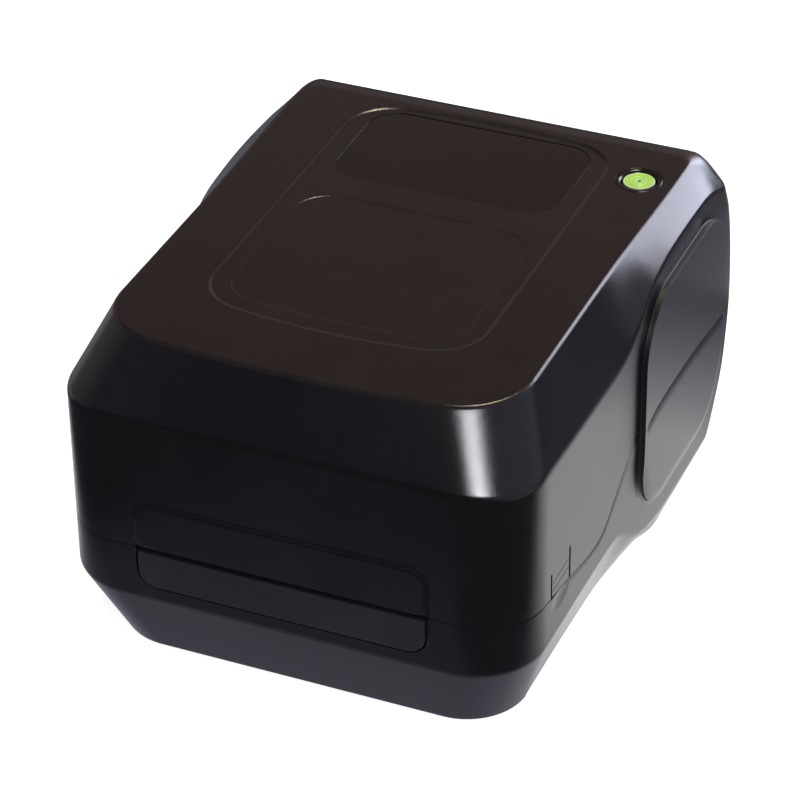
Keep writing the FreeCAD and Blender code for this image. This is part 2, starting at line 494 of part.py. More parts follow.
def flat_gear(teeth, cx, cy, z0, t, tooth_at, bore):
    g = gear(teeth, 0, 0, 0, t, tooth_at, bore)
    g.rotate(Vector(0, 0, 0), Vector(0, 1, 0), -90)
    g.rotate(Vector(0, 0, 0), Vector(0, 0, 1), -90)
    g.translate(Vector(cx, cy, z0) - Vector(g.BoundBox.Center.x, g.BoundBox.Center.y, g.BoundBox.ZMin))
    return g


shape_node("rack_pinion", flat_gear(16, 0.0, RY, D["rack_z"], D["rack_t"], 90.0 + 180.0 / 16, D["stud_r"] + D["run"]))

# ---------------------------------------------------------------- boards and ports
board = plate("main_board", "XY_Plane", 14.0, [(-30, -112), (52, -112), (52, -14), (-30, -14)], 1.6)
node(board, "main_board")
node(plate("io_board", "YZ_Plane", -72.4, [(92, 33), (127, 33), (127, 66), (92, 66)], 1.6, [(96, 37, 1.6), (96, 62, 1.6)]), "io_board")
node(plate("power_board", "YZ_Plane", 70.8, [(92, 33), (127, 33), (127, 66), (92, 66)], 1.6, [(96, 37, 1.6), (96, 62, 1.6)]), "power_board")
usb = cut("usb_cut", box("usb_can", (-86.6, 117.0, 32.9), (14.1, 16.8, 11.7)),
          [box("usb_mouth", (-84.3, 124.8, 34.8), (8.6, 12.0, 7.9))])
node(fuse("usb_all", [usb, box("usb_tongue", (-82.8, 124.0, 37.2), (5.6, 8.2, 3.1))]), "usb_port")
node(cut("net_cut", box("net_can", (-88.1, 117.0, 49.9), (15.6, 21.0, 14.2)),
         [box("net_mouth", (-86.2, 124.0, 52.4), (11.8, 16.0, 8.6)), box("net_key", (-83.3, 124.0, 50.9), (6.0, 16.0, 2.0))]), "network_port")
jack = cut("jack_cut", box("jack_can", (72.5, 117.0, 31.5), (14.3, 16.4, 13.0)),
           [cyl("jack_bore", "Y", "dims.jack_r", 10.0, ("dims.jack_x", 124.0, "dims.jack_z"))])
node(jack, "power_inlet")
sw = cut("switch_cut", box("switch_can", (72.5, 117.0, 49.5), (14.3, 22.0, 20.0)),
         [box("switch_well", (74.2, 130.5, "dims.rocker_z - 8.8"), (11.6, 12.0, 17.6)),
          cyl("switch_bore", "X", "dims.rocker_pin_r + dims.run", 13.4, (73.1, "dims.rocker_y", "dims.rocker_z"))])
node(sw, "switch_body")
RKY, RKZ = D["rocker_y"], D["rocker_z"]
rock = plate("rocker_body", "YZ_Plane", 74.6, [(RKY - 2, RKZ - 6.0), (RKY + 4.0, RKZ - 6.6), (RKY + 4.5, RKZ), (RKY + 6.2, RKZ + 6.6), (RKY - 2, RKZ + 6.0)], 10.8)
node(fuse("rocker_all", [rock, cyl("rocker_pin", "X", "dims.rocker_pin_r", 13.0, (73.3, "dims.rocker_y", "dims.rocker_z"))]), "power_rocker")

# ---------------------------------------------------------------- hinge
HY, HZ = D["hinge_y"], D["hinge_z"]
bracket_outline = [(94, 16), (106, 17), (125, 40), (133, 62), (138.4, 84), (139.2, 92), (136, 97.4), (130, 97.4), (126.6, 92), (117, 62), (102, 36)]
node(plate("hinge_bracket_left", "YZ_Plane", -94.0, bracket_outline, 3.5, [(HY, HZ, "dims.hinge_pin_r + 0.02")]), "hinge_bracket_left")
node(plate("hinge_bracket_right", "YZ_Plane", 90.5, bracket_outline, 3.5, [(HY, HZ, "dims.hinge_pin_r + 0.02")]), "hinge_bracket_right")
pins = [cyl("hinge_pin_%d" % i, "X", "dims.hinge_pin_r", 10.6, (x, "dims.hinge_y", "dims.hinge_z")) for i, x in enumerate((-95.2, 84.6))]
grp = doc.addObject("Part::Compound", "hinge_pins")
grp.Links = pins
node(grp, "hinge_pins")

# ---------------------------------------------------------------- latches
catches = [box("catch_%d" % i, (x, -99.0, 50.0), (2.0, 12.0, 6.0)) for i, x in enumerate((-109.3, 107.3))]
grp = doc.addObject("Part::Compound", "latch_catches")
grp.Links = catches
node(grp, "latch_catches")
for s, nm in ((-1, "left"), (1, "right")):
    c = D["clear"]
    lo, hi = sorted((s * HW, s * (HW - D["latch_t"])))
    w = Part.makePolygon([Vector(lo, y, z) for y, z in ((-103.7, 66.3), (-82.4, 62.6), (-82.4, 78.9), (-103.7, 78.9), (-103.7, 66.3))])
    tab = prism(w, Vector(hi - lo, 0, 0))
    for z in (68.6, 72.9):
        tab = tab.cut(solid_box(min(s * (HW - .5), s * (HW + 1)), max(s * (HW - .5), s * (HW + 1)), -103.0, -83.0, z, z + 0.7))
    bl, bh = sorted((s * 104.6, s * 110.0))
    arm = solid_box(bl, bh, -98.0, -88.0, 70.0, 76.0)
    al, ah = sorted((s * 104.6, s * 106.9))
    arm = arm.fuse(solid_box(al, ah, -98.0, -88.0, 50.5, 73.0))
    shape_node("latch_" + nm, tab.fuse(arm).removeSplitter())

# ---------------------------------------------------------------- lid internals
frame_plate = plate("frame_plate", "XY_Plane", D["frame_z"], [(-66, -100), (66, -100), (66, 103), (90, 103), (90, 116), (-90, 116), (-90, 103), (-66, 103)], "dims.frame_t",
                    [(-56, -92, 1.7), (56, -92, 1.7), (-80, 109, 1.7), (80, 109, 1.7)])
opening = [box("frame_window", (-50.0, 40.0, 150.0), (100.0, 60.0, 10.0)), box("frame_light", (-50.0, -84.0, 150.0), (100.0, 110.0, 10.0))]
ear_outline = [(103, 156), (116, 156), (128, 139), (138.0, 100), (139.2, 92), (136.5, 86.6), (130, 86.2), (126.6, 92), (120, 112), (103, 150)]
ears = [plate("ear_left", "YZ_Plane", -90.0, ear_outline, 4.0, [(HY, HZ, "dims.hinge_pin_r + dims.run")]),
        plate("ear_right", "YZ_Plane", 86.0, ear_outline, 4.0, [(HY, HZ, "dims.hinge_pin_r + dims.run")])]
node(fuse("inner_frame", [cut("frame_cut", frame_plate, opening)] + ears), "lid_inner_frame")
lid_scr = [cyl("lid_screw_%d" % i, "Z", 3.0, 1.9, (x, y, "dims.frame_z - 1.95")) for i, (x, y) in enumerate(((-56.0, -92.0), (56.0, -92.0), (-80.0, 109.0), (80.0, 109.0)))]
grp = doc.addObject("Part::Compound", "lid_screws")
grp.Links = lid_scr
node(grp, "lid_screws")
win = prism(rounded(-wh, wh, wf, wr, wrad, flat(seat_z + 0.1)), Vector(0, 0, D["window_thick"]))
shape_node("window", win)
node(cut("bezel_cut", cyl("bezel_ring", "Z", "dims.bezel_out_r", "dims.top_z - 158", ("dims.button_x", "dims.button_y", 158.0)),
         [cyl("bezel_bore", "Z", "dims.bezel_in_r", 12.0, ("dims.button_x", "dims.button_y", 157.0))]), "button_bezel")
node(fuse("button_all", [cyl("button_cap", "Z", "dims.button_r", "dims.top_z - 0.3 - 160", ("dims.button_x", "dims.button_y", 160.0)),
                         cyl("button_stem", "Z", 3.0, 7.0, ("dims.button_x", "dims.button_y", 154.0))]), "feed_button")
node(fuse("button_board_all", [box("button_pcb", (68.6, 70.6, 148.1), (27.0, 26.8, 1.6)),
                               box("button_switch", ("dims.button_x - 3", "dims.button_y - 3", 149.0), (6.0, 6.0, 3.5))]), "button_board")
rib = [(-128, 84), (-112, 79), (-50, 79), (4, 93), (10, 110), (10, 153.9), (-97, 153.9), (-117, 140), (-129, 112)]
hole_list = [(D["supply_y"], D["spindle_z"], "dims.spindle_shaft_r + dims.run"), (D["takeup_y"], D["spindle_z"], "dims.spindle_shaft_r + dims.run"),
             (D["head_pivot_y"], D["head_pivot_z"], "dims.head_pivot_r + 0.02")]
node(plate("ribbon_frame_left", "YZ_Plane", -65.5, rib, "dims.ribbon_plate_t", hole_list), "ribbon_frame_left")
node(plate("ribbon_frame_right", "YZ_Plane", 63.0, rib, "dims.ribbon_plate_t", hole_list), "ribbon_frame_right")


def spindle(nm, y, x_left, x_right):
    parts = [cyl(nm + "_core", "X", "dims.spindle_core_r", "2 * dims.spindle_half", ("-dims.spindle_half", y, "dims.spindle_z")),
             cyl(nm + "_shaft", "X", "dims.spindle_shaft_r", x_right - x_left, (x_left, y, "dims.spindle_z"))]
    yv = D[y[5:]]
    for k in range(3):
        fin = box("%s_fin_%d" % (nm, k), (0, 0, 0), (118.0, 2.4, "dims.spindle_fin_r"))
        ang = 90 + 120.0 * k
        rot = Rotation(Vector(1, 0, 0), ang)
        off = rot.multVec(Vector(0, -1.2, 0))
        fin.Placement = Placement(Vector(-59.0, yv + off.y, D["spindle_z"] + off.z), rot)
        parts.append(fin)
    return fuse(nm + "_all", parts)


node(spindle("supply", "dims.supply_y", -67.0, 67.0), "supply_spindle")
node(spindle("takeup", "dims.takeup_y", -67.0, 72.0), "takeup_spindle")
N_TAKE, N_RIB, a3 = 55, 15, 40.0
d3 = m * (N_TAKE + N_RIB) / 2
TY, TZ = D["takeup_y"], D["spindle_z"]
RMY, RMZ = TY + d3 * math.cos(math.radians(a3)), TZ + d3 * math.sin(math.radians(a3))
shape_node("takeup_gear", gear(N_TAKE, TY, TZ, 67.5, 3.6, a3, D["spindle_shaft_r"] + 0.02))
shape_node("ribbon_pinion", gear(N_RIB, RMY, RMZ, 67.3, 4.0, a3 + 180 + 180.0 / N_RIB, 0).fuse(x_cyl(1.5, 66.9, 82.0, RMY, RMZ)))
node(cut("rmotor_cut", cyl("rmotor_can", "X", 12.0, 24.0, (73.5, RMY, RMZ)), [cyl("rmotor_bore", "X", "1.5 + dims.run", 14.0, (72.0, RMY, RMZ))]), "ribbon_motor")
mount = fuse("rmount_all", [plate("rmount_plate", "YZ_Plane", 71.9, [(-86, 126), (-53, 124), (-53, 152), (-80, 152)], 1.5, [(RMY, RMZ, 4.0)]),
                            cyl("rmount_post_a", "X", 3.0, 6.5, (65.55, -57.0, 128.0)), cyl("rmount_post_b", "X", 3.0, 6.5, (65.55, -59.0, 149.0))])
node(mount, "ribbon_motor_mount")
node(cyl("head_pivot_bar", "X", "dims.head_pivot_r", 132.0, (-66.0, "dims.head_pivot_y", "dims.head_pivot_z")), "head_pivot_shaft")
hb = [box("head_plate", ("-dims.head_half", -126.0, 82.0), ("2 * dims.head_half", 62.0, 2.0))]
for i, x in enumerate((-58.0, 54.0)):
    hb.append(cyl("head_lug_%d" % i, "X", 7.5, 4.0, (x, "dims.head_pivot_y", "dims.head_pivot_z")))
    hb.append(box("head_web_%d" % i, (x, -72.0, 82.0), (4.0, 12.0, 6.0)))
node(cut("head_cut", fuse("head_body", hb), [cyl("head_bore", "X", "dims.head_pivot_r + dims.run", 140.0, (-70.0, "dims.head_pivot_y", "dims.head_pivot_z"))]), "head_bracket")
fins = [box("sink_slot_%d" % k, (-57.0, -125.0 + 5.0 * k, 75.5), (114.0, 2.4, 8.0)) for k in range(5)]
node(cut("sink_cut", box("sink_bar", (-56.0, -128.0, 72.5), (112.0, 28.0, 9.4)), fins), "heat_sink")
node(box("thermal_bar", ("-dims.head_half", -128.5, "dims.head_z"), ("2 * dims.head_half", 26.5, 2.3)), "thermal_head")
node(box("beam_bar", (-62.8, -118.0, 98.0), (125.6, 10.0, 2.5)), "spring_beam")
rings = []
for i, x in enumerate((-35.0, 35.0)):
    for k in range(6):
        t = doc.addObject("Part::Torus", "coil_%d_%d" % (i, k))
        t.Radius1, t.Radius2 = 4.0, 0.7
        rings.append(place(t, (x, -113.0, 85.0 + 2.4 * k)))
grp = doc.addObject("Part::Compound", "head_springs")
grp.Links = rings
node(grp, "head_springs")
teeth = [(-62.0, -133.0)]
for k in range(31):
    teeth += [(-62.0 + 4 * k, -138.0), (-60.0 + 4 * k, -139.2)]
teeth += [(62.0, -138.0), (62.0, -133.0)]
node(plate("tear_bar", "XY_Plane", 71.7, teeth, 1.2), "tear_bar")

# ---------------------------------------------------------------- write the pieces
doc.recompute()
for o in doc.Objects:
    if "Invalid" in o.State or "Error" in o.State:
        raise RuntimeError("failed object: " + o.Label)
os.makedirs("parts", exist_ok=True)
for o in NODES:
    if o.Shape.isNull() or not o.Shape.isValid():
        raise RuntimeError("bad shape: " + o.Label)
    o.Shape.exportStep(os.path.join("parts", o.Label + ".step"))
print(len(NODES), "pieces")
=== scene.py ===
import json
import math

import bmesh
import bpy
import numpy as np
from mathutils import Matrix, Vector
from mathutils.bvhtree import BVHTree
from mathutils.geometry import barycentric_transform, tessellate_polygon

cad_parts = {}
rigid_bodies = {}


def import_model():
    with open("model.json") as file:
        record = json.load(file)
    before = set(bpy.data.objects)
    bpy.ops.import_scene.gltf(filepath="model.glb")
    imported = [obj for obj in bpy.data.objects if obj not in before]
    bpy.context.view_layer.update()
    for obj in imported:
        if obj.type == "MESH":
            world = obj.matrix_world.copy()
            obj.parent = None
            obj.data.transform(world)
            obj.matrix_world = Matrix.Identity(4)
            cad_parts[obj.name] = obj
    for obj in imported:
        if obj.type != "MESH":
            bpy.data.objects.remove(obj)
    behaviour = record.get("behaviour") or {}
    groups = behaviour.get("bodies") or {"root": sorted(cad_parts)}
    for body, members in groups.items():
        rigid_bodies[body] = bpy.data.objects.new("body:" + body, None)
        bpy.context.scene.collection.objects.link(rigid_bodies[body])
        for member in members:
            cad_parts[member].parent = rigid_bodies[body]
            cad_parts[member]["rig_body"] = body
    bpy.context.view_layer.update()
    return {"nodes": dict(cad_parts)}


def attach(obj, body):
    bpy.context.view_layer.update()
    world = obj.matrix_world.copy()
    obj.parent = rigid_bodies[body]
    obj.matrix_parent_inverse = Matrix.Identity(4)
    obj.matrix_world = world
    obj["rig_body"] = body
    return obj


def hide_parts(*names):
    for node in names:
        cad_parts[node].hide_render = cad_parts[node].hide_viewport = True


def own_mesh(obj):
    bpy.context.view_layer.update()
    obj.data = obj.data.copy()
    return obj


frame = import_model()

NODES = frame["nodes"]
scene = bpy.context.scene
MM = 0.001


# ------------------------------------------------------------------ curves of the housing, millimetres
def natural(xs, ys):
    """Natural cubic spline through points with rising xs."""
    x, y = np.array(xs, float), np.array(ys, float)
    n = len(x)
    h = np.diff(x)
    a = np.eye(n)
    b = np.zeros((n,) + y.shape[1:])
    for i in range(1, n - 1):
        a[i, i - 1], a[i, i], a[i, i + 1] = h[i - 1], 2 * (h[i - 1] + h[i]), h[i]
        b[i] = 6 * ((y[i + 1] - y[i]) / h[i] - (y[i] - y[i - 1]) / h[i - 1])
    m = np.linalg.solve(a, b)

    def at(q):
        q = np.clip(np.asarray(q, float), x[0], x[-1])
        i = np.clip(np.searchsorted(x, q) - 1, 0, n - 2)
        t0, t1, hh = q - x[i], x[i + 1] - q, h[i]
        if y.ndim > 1:
            t0, t1, hh = t0[..., None], t1[..., None], hh[..., None]
        return (m[i] * t1 ** 3 + m[i + 1] * t0 ** 3) / (6 * hh) + (y[i] / hh - m[i] * hh / 6) * t1 + (y[i + 1] / hh - m[i + 1] * hh / 6) * t0
    return at


def ease(u):
    u = np.clip(u, 0.0, 1.0)
    return u * u * (3 - 2 * u)


TOP, BOT, HW, FRONT = 167.0, 2.5, 112.0, -142.0
SEAM = [(-150, 70.0), (-142, 70.0), (-130, 69.8), (-117, 68.6), (-105, 65.8), (-81, 61.8), (-64, 58.3), (-50, 56.4),
        (-44, 56.3), (-38, 57.8), (-30, 62.5), (-18.7, 70.2), (-7.4, 76.9), (5.8, 82.3), (14, 85.0), (28.6, 87.0),
        (51, 87.0), (73.4, 86.2), (99, 83.8), (118, 81.7), (143, 79.8), (152, 79.3)]
seam = natural(*zip(*SEAM))
REAR = [(112.0, 167.0), (117.5, 166.55), (122.0, 165.1), (126.2, 161.6), (129.8, 155.4), (134.4, 144.5), (138.6, 131.5),
        (141.6, 116.0), (143.2, 92.0), (142.6, 74.0), (140.2, 57.0), (136.6, 41.5), (129.4, 28.5), (116.0, 14.5),
        (101.0, 6.2), (88.0, 2.5)]
_r = np.array(REAR)
_t = np.concatenate([[0], np.cumsum(np.hypot(*np.diff(_r, axis=0).T))])
_rear = natural(_t, _r)
REAR_T = np.linspace(0, _t[-1], 1200)
REAR_P = _rear(REAR_T)
_tan = np.gradient(REAR_P, axis=0)
_tan /= np.linalg.norm(_tan, axis=1)[:, None]
REAR_IN = REAR_P + 2.8 * np.stack([_tan[:, 1], -_tan[:, 0]], 1)


def rear_t(z):
    """Place along the rear curve at height z."""
    return float(np.interp(-z, -REAR_P[:, 1], REAR_T))


def rear_at(t, inner=False):
    p = REAR_IN if inner else REAR_P
    return float(np.interp(t, REAR_T, p[:, 0])), float(np.interp(t, REAR_T, p[:, 1]))


low_edge = natural([-150, -109, -75, -40, -24.3, -15.2, -5.4, 5.9, 15.3, 24.3, 34.4, 46, 60, 75, 90, 100, 107, 113, 119, 126, 150],
                   [134.6, 134.6, 134.2, 133.8, 133.8, 134.6, 137.2, 142.4, 147.6, 151.6, 153.8, 155.3, 156.0, 156.0, 155.4,
                    154.6, 153.2, 151.2, 148.4, 146.8, 146.5])
crease = natural([-150, -109, -75, -35, -24.4, -15.3, -7.4, 1.6, 15.1, 32, 60, 94, 150],
                 [43.2, 43.2, 43.2, 43.0, 42.2, 39.6, 35.0, 28.6, 21.2, 16.9, 15.4, 15.3, 15.3])


def wall_x(y, z):
    return HW - 1.5 * ease((y + 24) / 70) * np.clip((z - 135.5) / 19.5, 0, 1)


def lerp(a, b, f):
    return a + (b - a) * f


# ------------------------------------------------------------------ stations round the housing
N_FRONT, N_CORNER, N_REAR_CORNER, N_REAR = 14, 18, 12, 12
Y_FIX = np.concatenate([np.linspace(-84, -40, 12), np.linspace(-37, 49, 33), np.linspace(53, 70, 5)])


def station_line(L):
    """Right half of one level of the housing, front middle to rear middle."""
    w0, rf, f0, bow = L["wf"], L["rf"], L["f0"], L["bow"]
    xs = w0 - rf
    for _ in range(3):
        al = math.atan2(2 * bow, xs)
        xs = w0 - rf + rf * math.sin(al)
    cy = f0 + bow + rf * math.cos(al)
    u = np.linspace(0, 1, N_FRONT, endpoint=False)
    a = np.stack([xs * u, f0 + bow * u * u, np.full_like(u, L["zf"])], 1)
    ph = np.linspace(-math.pi / 2 + al, 0, N_CORNER, endpoint=False)
    zc = lerp(L["zf"], float(L["z"](cy)), ease((ph + math.pi / 2) / (math.pi / 2)))
    b = np.stack([w0 - rf + rf * np.cos(ph), cy + rf * np.sin(ph), zc], 1)
    y1 = L["r"] - L["rr"]
    ys = np.concatenate([np.linspace(cy, Y_FIX[0], 7, endpoint=False), Y_FIX, np.linspace(Y_FIX[-1], y1, 13)[1:-1], [y1]])
    c = np.stack([L["w"](ys), ys, L["z"](ys)], 1)
    wd, rr = float(L["w"](np.array(y1))), L["rr"]
    ph = np.linspace(0, math.pi / 2, N_REAR_CORNER + 1)[1:]
    d = np.stack([wd - rr + rr * np.cos(ph), L["r"] - rr + rr * np.sin(ph),
                  lerp(float(L["z"](np.array(y1))), L["zr"], ease(ph / (math.pi / 2)))], 1)
    u = np.linspace(1, 0, N_REAR + 1)[1:]
    e = np.stack([(wd - rr) * u, np.full_like(u, L["r"]), np.full_like(u, L["zr"])], 1)
    return np.concatenate([a, b, c, d, e])


def mix(A, B, f, t=None, inner=False, wall=False):
    """Level between two levels; t is its place on the rear curve."""
    L = {k: lerp(A[k], B[k], f) for k in ("f0", "bow", "rf", "rr", "zf", "wf")}
    L["z"] = lambda y: lerp(A["z"](y), B["z"](y), f)
    if wall:
        L["w"] = lambda y: wall_x(y, L["z"](y)) - (2.6 if inner else 0.0)
    else:
        L["w"] = lambda y: lerp(A["w"](y), B["w"](y), f)
    L["t"] = lerp(A["t"], B["t"], f) if t is None else t
    L["r"], L["zr"] = rear_at(L["t"], inner)
    return L


def flat_level(f0, bow, w, rf, z, r, rr, t=0.0):
    return dict(f0=f0, bow=bow, wf=w, rf=rf, zf=z, w=lambda y: np.full_like(np.asarray(y, float), w),
                z=lambda y: np.full_like(np.asarray(y, float), z), r=r, zr=z, rr=rr, t=t)


def wall_level(zf, zfun, zr, rr, inner=False):
    t = rear_t(zr)
    d = 2.6 if inner else 0.0
    r, z = rear_at(t, inner)
    return dict(f0=FRONT + d, bow=0.0, wf=HW - d, rf=32.0 - d, zf=zf, w=lambda y: wall_x(y, zfun(y)) - d, z=zfun, r=r, zr=z, rr=rr - d, t=t)


def part_gap(y):
    """Half the width of the parting line, finer at the front."""
    y = np.asarray(y, float)
    return 0.1 + 0.22 * ease((y + 125) / 25) + 0.1 * ease((y + 75) / 40)


K_IN = flat_level(-122.1, 3.1, 94.6, 30.6, TOP, 111.2, 6.8)
K0 = flat_level(-124.7, 3.2, 97.2, 33.0, TOP, 112.0, 7.6, 0.0)
K0["w"] = lambda y: 97.2 + 1.5 * ease((np.asarray(y, float) - 20) / 80)
K_IN["w"] = lambda y: 94.6 + 1.5 * ease((np.asarray(y, float) - 20) / 80)
K1 = wall_level(137.0, low_edge, 147.0, 11.0)
S_UP = wall_level(70.1, lambda y: seam(y) + part_gap(y), 80.1, 8.2)
S_DN = wall_level(69.9, lambda y: seam(y) - part_gap(y), 79.5, 8.2)
S_DN["w"] = lambda y: HW - 0.5 * ease((np.asarray(y, float) + 108) / 30) * ease((128 - np.asarray(y, float)) / 20)
K3 = wall_level(42.8, crease, 15.3, 9.0)
K4 = flat_level(-124.6, 0.0, 98.0, 29.0, BOT, 88.0, 10.0, float(REAR_T[-1]))
K4["w"] = natural([-150, -20, -3, 5, 13.5, 21.8, 29, 35.7, 42.8, 55, 75, 150], [98, 98, 98.7, 99.5, 100.2, 100.9, 102.2, 104.4, 106.6, 107.2, 107, 107])
K4_IN = flat_level(-118.0, 0.0, 92.0, 23.0, BOT, 81.0, 8.0)
S_UP_I = wall_level(70.1, lambda y: seam(y) + part_gap(y), 80.1, 8.2, True)
S_DN_I = wall_level(69.9, lambda y: seam(y) - part_gap(y) - 1.6 * ease((np.asarray(y, float) + 78) / 20) * ease((100 - np.asarray(y, float)) / 20), 79.5, 8.2, True)
K1_I = wall_level(135.8, lambda y: low_edge(y) - 1.2, 145.5, 11.0, True)
K0_I = flat_level(-122.6, 3.0, 95.6, 25.0, 162.4, 115.0, 4.0)
K0_II = flat_level(-119.0, 2.6, 92.0, 22.0, 162.4, 106.0, 3.0)
K3_I = wall_level(43.8, lambda y: crease(y) + 1.2, 17.0, 9.0, True)
K4_I = flat_level(-122.6, 0.0, 95.6, 26.0, 5.1, 88.0, 9.0)
K4_II = flat_level(-118.0, 0.0, 91.0, 22.0, 5.1, 81.0, 8.0)


def between(A, B, n, **k):
    return [mix(A, B, (i + 1) / (n + 1), **k) for i in range(n)]


def soften(rows, k, dist, n):
    """Replaces the corner at row k by n points of an arc with tangent length dist."""
    a, c, b = rows[k - 1], rows[k], rows[k + 1]
    u, v = a - c, b - c
    lu, lv = np.linalg.norm(u, axis=1), np.linalg.norm(v, axis=1)
    du, dv = np.minimum(dist, 0.48 * lu), np.minimum(dist, 0.48 * lv)
    p, q = c + u * (du / lu)[:, None], c + v * (dv / lv)[:, None]
    w = np.sqrt(np.clip((1 - np.sum(u * v, 1) / (lu * lv)) / 2, 0.02, 1))[:, None]
    out = []
    for t in np.linspace(0, 1, n):
        wt = 2 * w * t * (1 - t)
        out.append(((1 - t) ** 2 * p + wt * c + t * t * q) / ((1 - t) ** 2 + wt + t * t))
    return rows[:k] + out + rows[k + 1:]


def full_loop(half):
    left = half[1:-1][::-1] * np.array([-1, 1, 1])
    return np.concatenate([half, left])


class Build:
    """Collects loops and faces of one solid, in millimetres."""

    def __init__(self):
        self.v, self.f = [], []

    def loop(self, pts):
        i = len(self.v)
        self.v += [tuple(map(float, p)) for p in pts]
        return list(range(i, i + len(pts)))

    def bridge(self, a, b, close=True):
        n = len(a)
        for i in range(n if close else n - 1):
            j = (i + 1) % n
            self.f.append((a[i], a[j], b[j], b[i]))

    def stack(self, loops):
        for a, b in zip(loops[:-1], loops[1:]):
            self.bridge(a, b)

    def fill(self, loops, drop):
        """Fills a flat face with holes; drop is the axis left out."""
        keep = [k for k in range(3) if k != drop]
        idx = [i for lp in loops for i in lp]
        tri = tessellate_polygon([[Vector((self.v[i][keep[0]], self.v[i][keep[1]], 0)) for i in lp] for lp in loops])
        for t in tri:
            self.f.append(tuple(idx[k] for k in t))

    def mesh(self, name):
        me = bpy.data.meshes.new(name)
        me.from_pydata([(x * MM, y * MM, z * MM) for x, y, z in self.v], [], self.f)
        bm = bmesh.new()
        bm.from_mesh(me)
        bmesh.ops.remove_doubles(bm, verts=bm.verts, dist=1e-7)
        bmesh.ops.dissolve_degenerate(bm, dist=1e-8, edges=bm.edges)
        bmesh.ops.recalc_face_normals(bm, faces=bm.faces)
        bm.to_mesh(me)
        bm.free()
        return me

    def object(self, name):
        o = bpy.data.objects.new(name, self.mesh(name))
        scene.collection.objects.link(o)
        return o


def circle(cx, cy, r, z, n=64):
    a = np.linspace(0, 2 * math.pi, n, endpoint=False)
    return np.stack([cx + r * np.cos(a), cy + r * np.sin(a), np.full(n, z)], 1)


def bowed(half, y0, y1, r, b0, b1, z, n_edge=24, n_arc=16, inset=0.0):
    """Rounded rectangle in plan whose front and rear edges bow outwards by b0 and b1; inset moves it inwards."""
    pts = []
    half, y0, y1, r = half - inset, y0 + inset, y1 - inset, r - inset
    for sgn, yy, bow in ((-1, y0, b0), (1, y1, b1)):
        xs = half - r
        for _ in range(3):
            al = math.atan2(2 * bow, xs)
            xs = half - r + r * math.sin(al)
        cy = yy - sgn * bow - sgn * r * math.cos(al)
        u = np.linspace(0, 1, n_edge)
        line = [(xs * t, yy - sgn * bow * t * t) for t in u[:-1]]
        ph = np.linspace(math.pi / 2 - al, 0, n_arc)
        arc = [(half - r + r * math.cos(p), cy + sgn * r * math.sin(p)) for p in ph]
        pts.append(line + arc)
    right = pts[0] + pts[1][::-1]
    loop = right + [(-x, y) for x, y in right[::-1][1:-1]]
    return np.array([(x, y, z) for x, y in loop])


SURFACES = {}


def facets(obj, flip=False):
    """Triangles of a surface with their smooth corner normals."""
    obj.data.shade_smooth()
    obj.data.set_sharp_from_angle(angle=math.radians(32))
    m = obj.modifiers.new("n", "WEIGHTED_NORMAL")
    m.keep_sharp, m.weight = True, 60
    me = bpy.data.meshes.new_from_object(obj.evaluated_get(bpy.context.evaluated_depsgraph_get()))
    obj.modifiers.remove(m)
    me.calc_loop_triangles()
    co, cn = np.empty(len(me.vertices) * 3), np.empty(len(me.loops) * 3)
    tv, tl = np.empty(len(me.loop_triangles) * 3, int), np.empty(len(me.loop_triangles) * 3, int)
    me.vertices.foreach_get("co", co)
    me.corner_normals.foreach_get("vector", cn)
    me.loop_triangles.foreach_get("vertices", tv)
    me.loop_triangles.foreach_get("loops", tl)
    bpy.data.meshes.remove(me)
    t, n = co.reshape(-1, 3)[tv].reshape(-1, 3, 3), cn.reshape(-1, 3)[tl].reshape(-1, 3, 3)
    return (t[:, ::-1], -n[:, ::-1]) if flip else (t, n)


def resurface(obj):
    """Gives every corner the normal of the smooth surface it was cut from."""
    tris = np.concatenate([t for t, _ in SURFACES[obj.name]])
    nors = np.concatenate([n for _, n in SURFACES[obj.name]])
    tree = BVHTree.FromPolygons([tuple(v) for v in tris.reshape(-1, 3)], [(3 * i, 3 * i + 1, 3 * i + 2) for i in range(len(tris))], all_triangles=True)
    me = obj.data
    out = [Vector((0, 0, 1))] * len(me.loops)
    for poly in me.polygons:
        pn, c, thin = poly.normal, poly.center, poly.area < 2e-9
        for li in poly.loop_indices:
            v = me.vertices[me.loops[li].vertex_index].co
            to = c - v
            q = v + to * min(0.03, 2e-5 / max(to.length, 1e-9))
            best, at = -9.0, None
            for _, nor, idx, dist in tree.find_nearest_range(q, 6e-5):
                score = (0.0 if thin else nor.dot(pn)) - dist * 2000
                if score > best and (thin or score > 0.88):
                    best, at = score, idx
            n = pn
            if at is not None:
                g = barycentric_transform(v, *(Vector(k) for k in tris[at]), *(Vector(k) for k in nors[at]))
                if g.length > 1e-6 and (thin or g.normalized().dot(pn) > 0.4):
                    n = g.normalized()
            out[li] = n
    me.normals_split_custom_set(out)


def boolean(obj, cutter, op="DIFFERENCE"):
    if obj.name not in SURFACES:
        SURFACES[obj.name] = [facets(obj)]
    SURFACES[obj.name].append(facets(cutter, op == "DIFFERENCE"))
    m = obj.modifiers.new("b", "BOOLEAN")
    m.operation, m.solver, m.object = op, "MANIFOLD", cutter
    dg = bpy.context.evaluated_depsgraph_get()
    me = bpy.data.meshes.new_from_object(obj.evaluated_get(dg))
    obj.modifiers.remove(m)
    old = obj.data
    obj.data = me
    me.name = obj.name
    bpy.data.meshes.remove(old)
    data = cutter.data
    bpy.data.objects.remove(cutter)
    bpy.data.meshes.remove(data)
    return obj


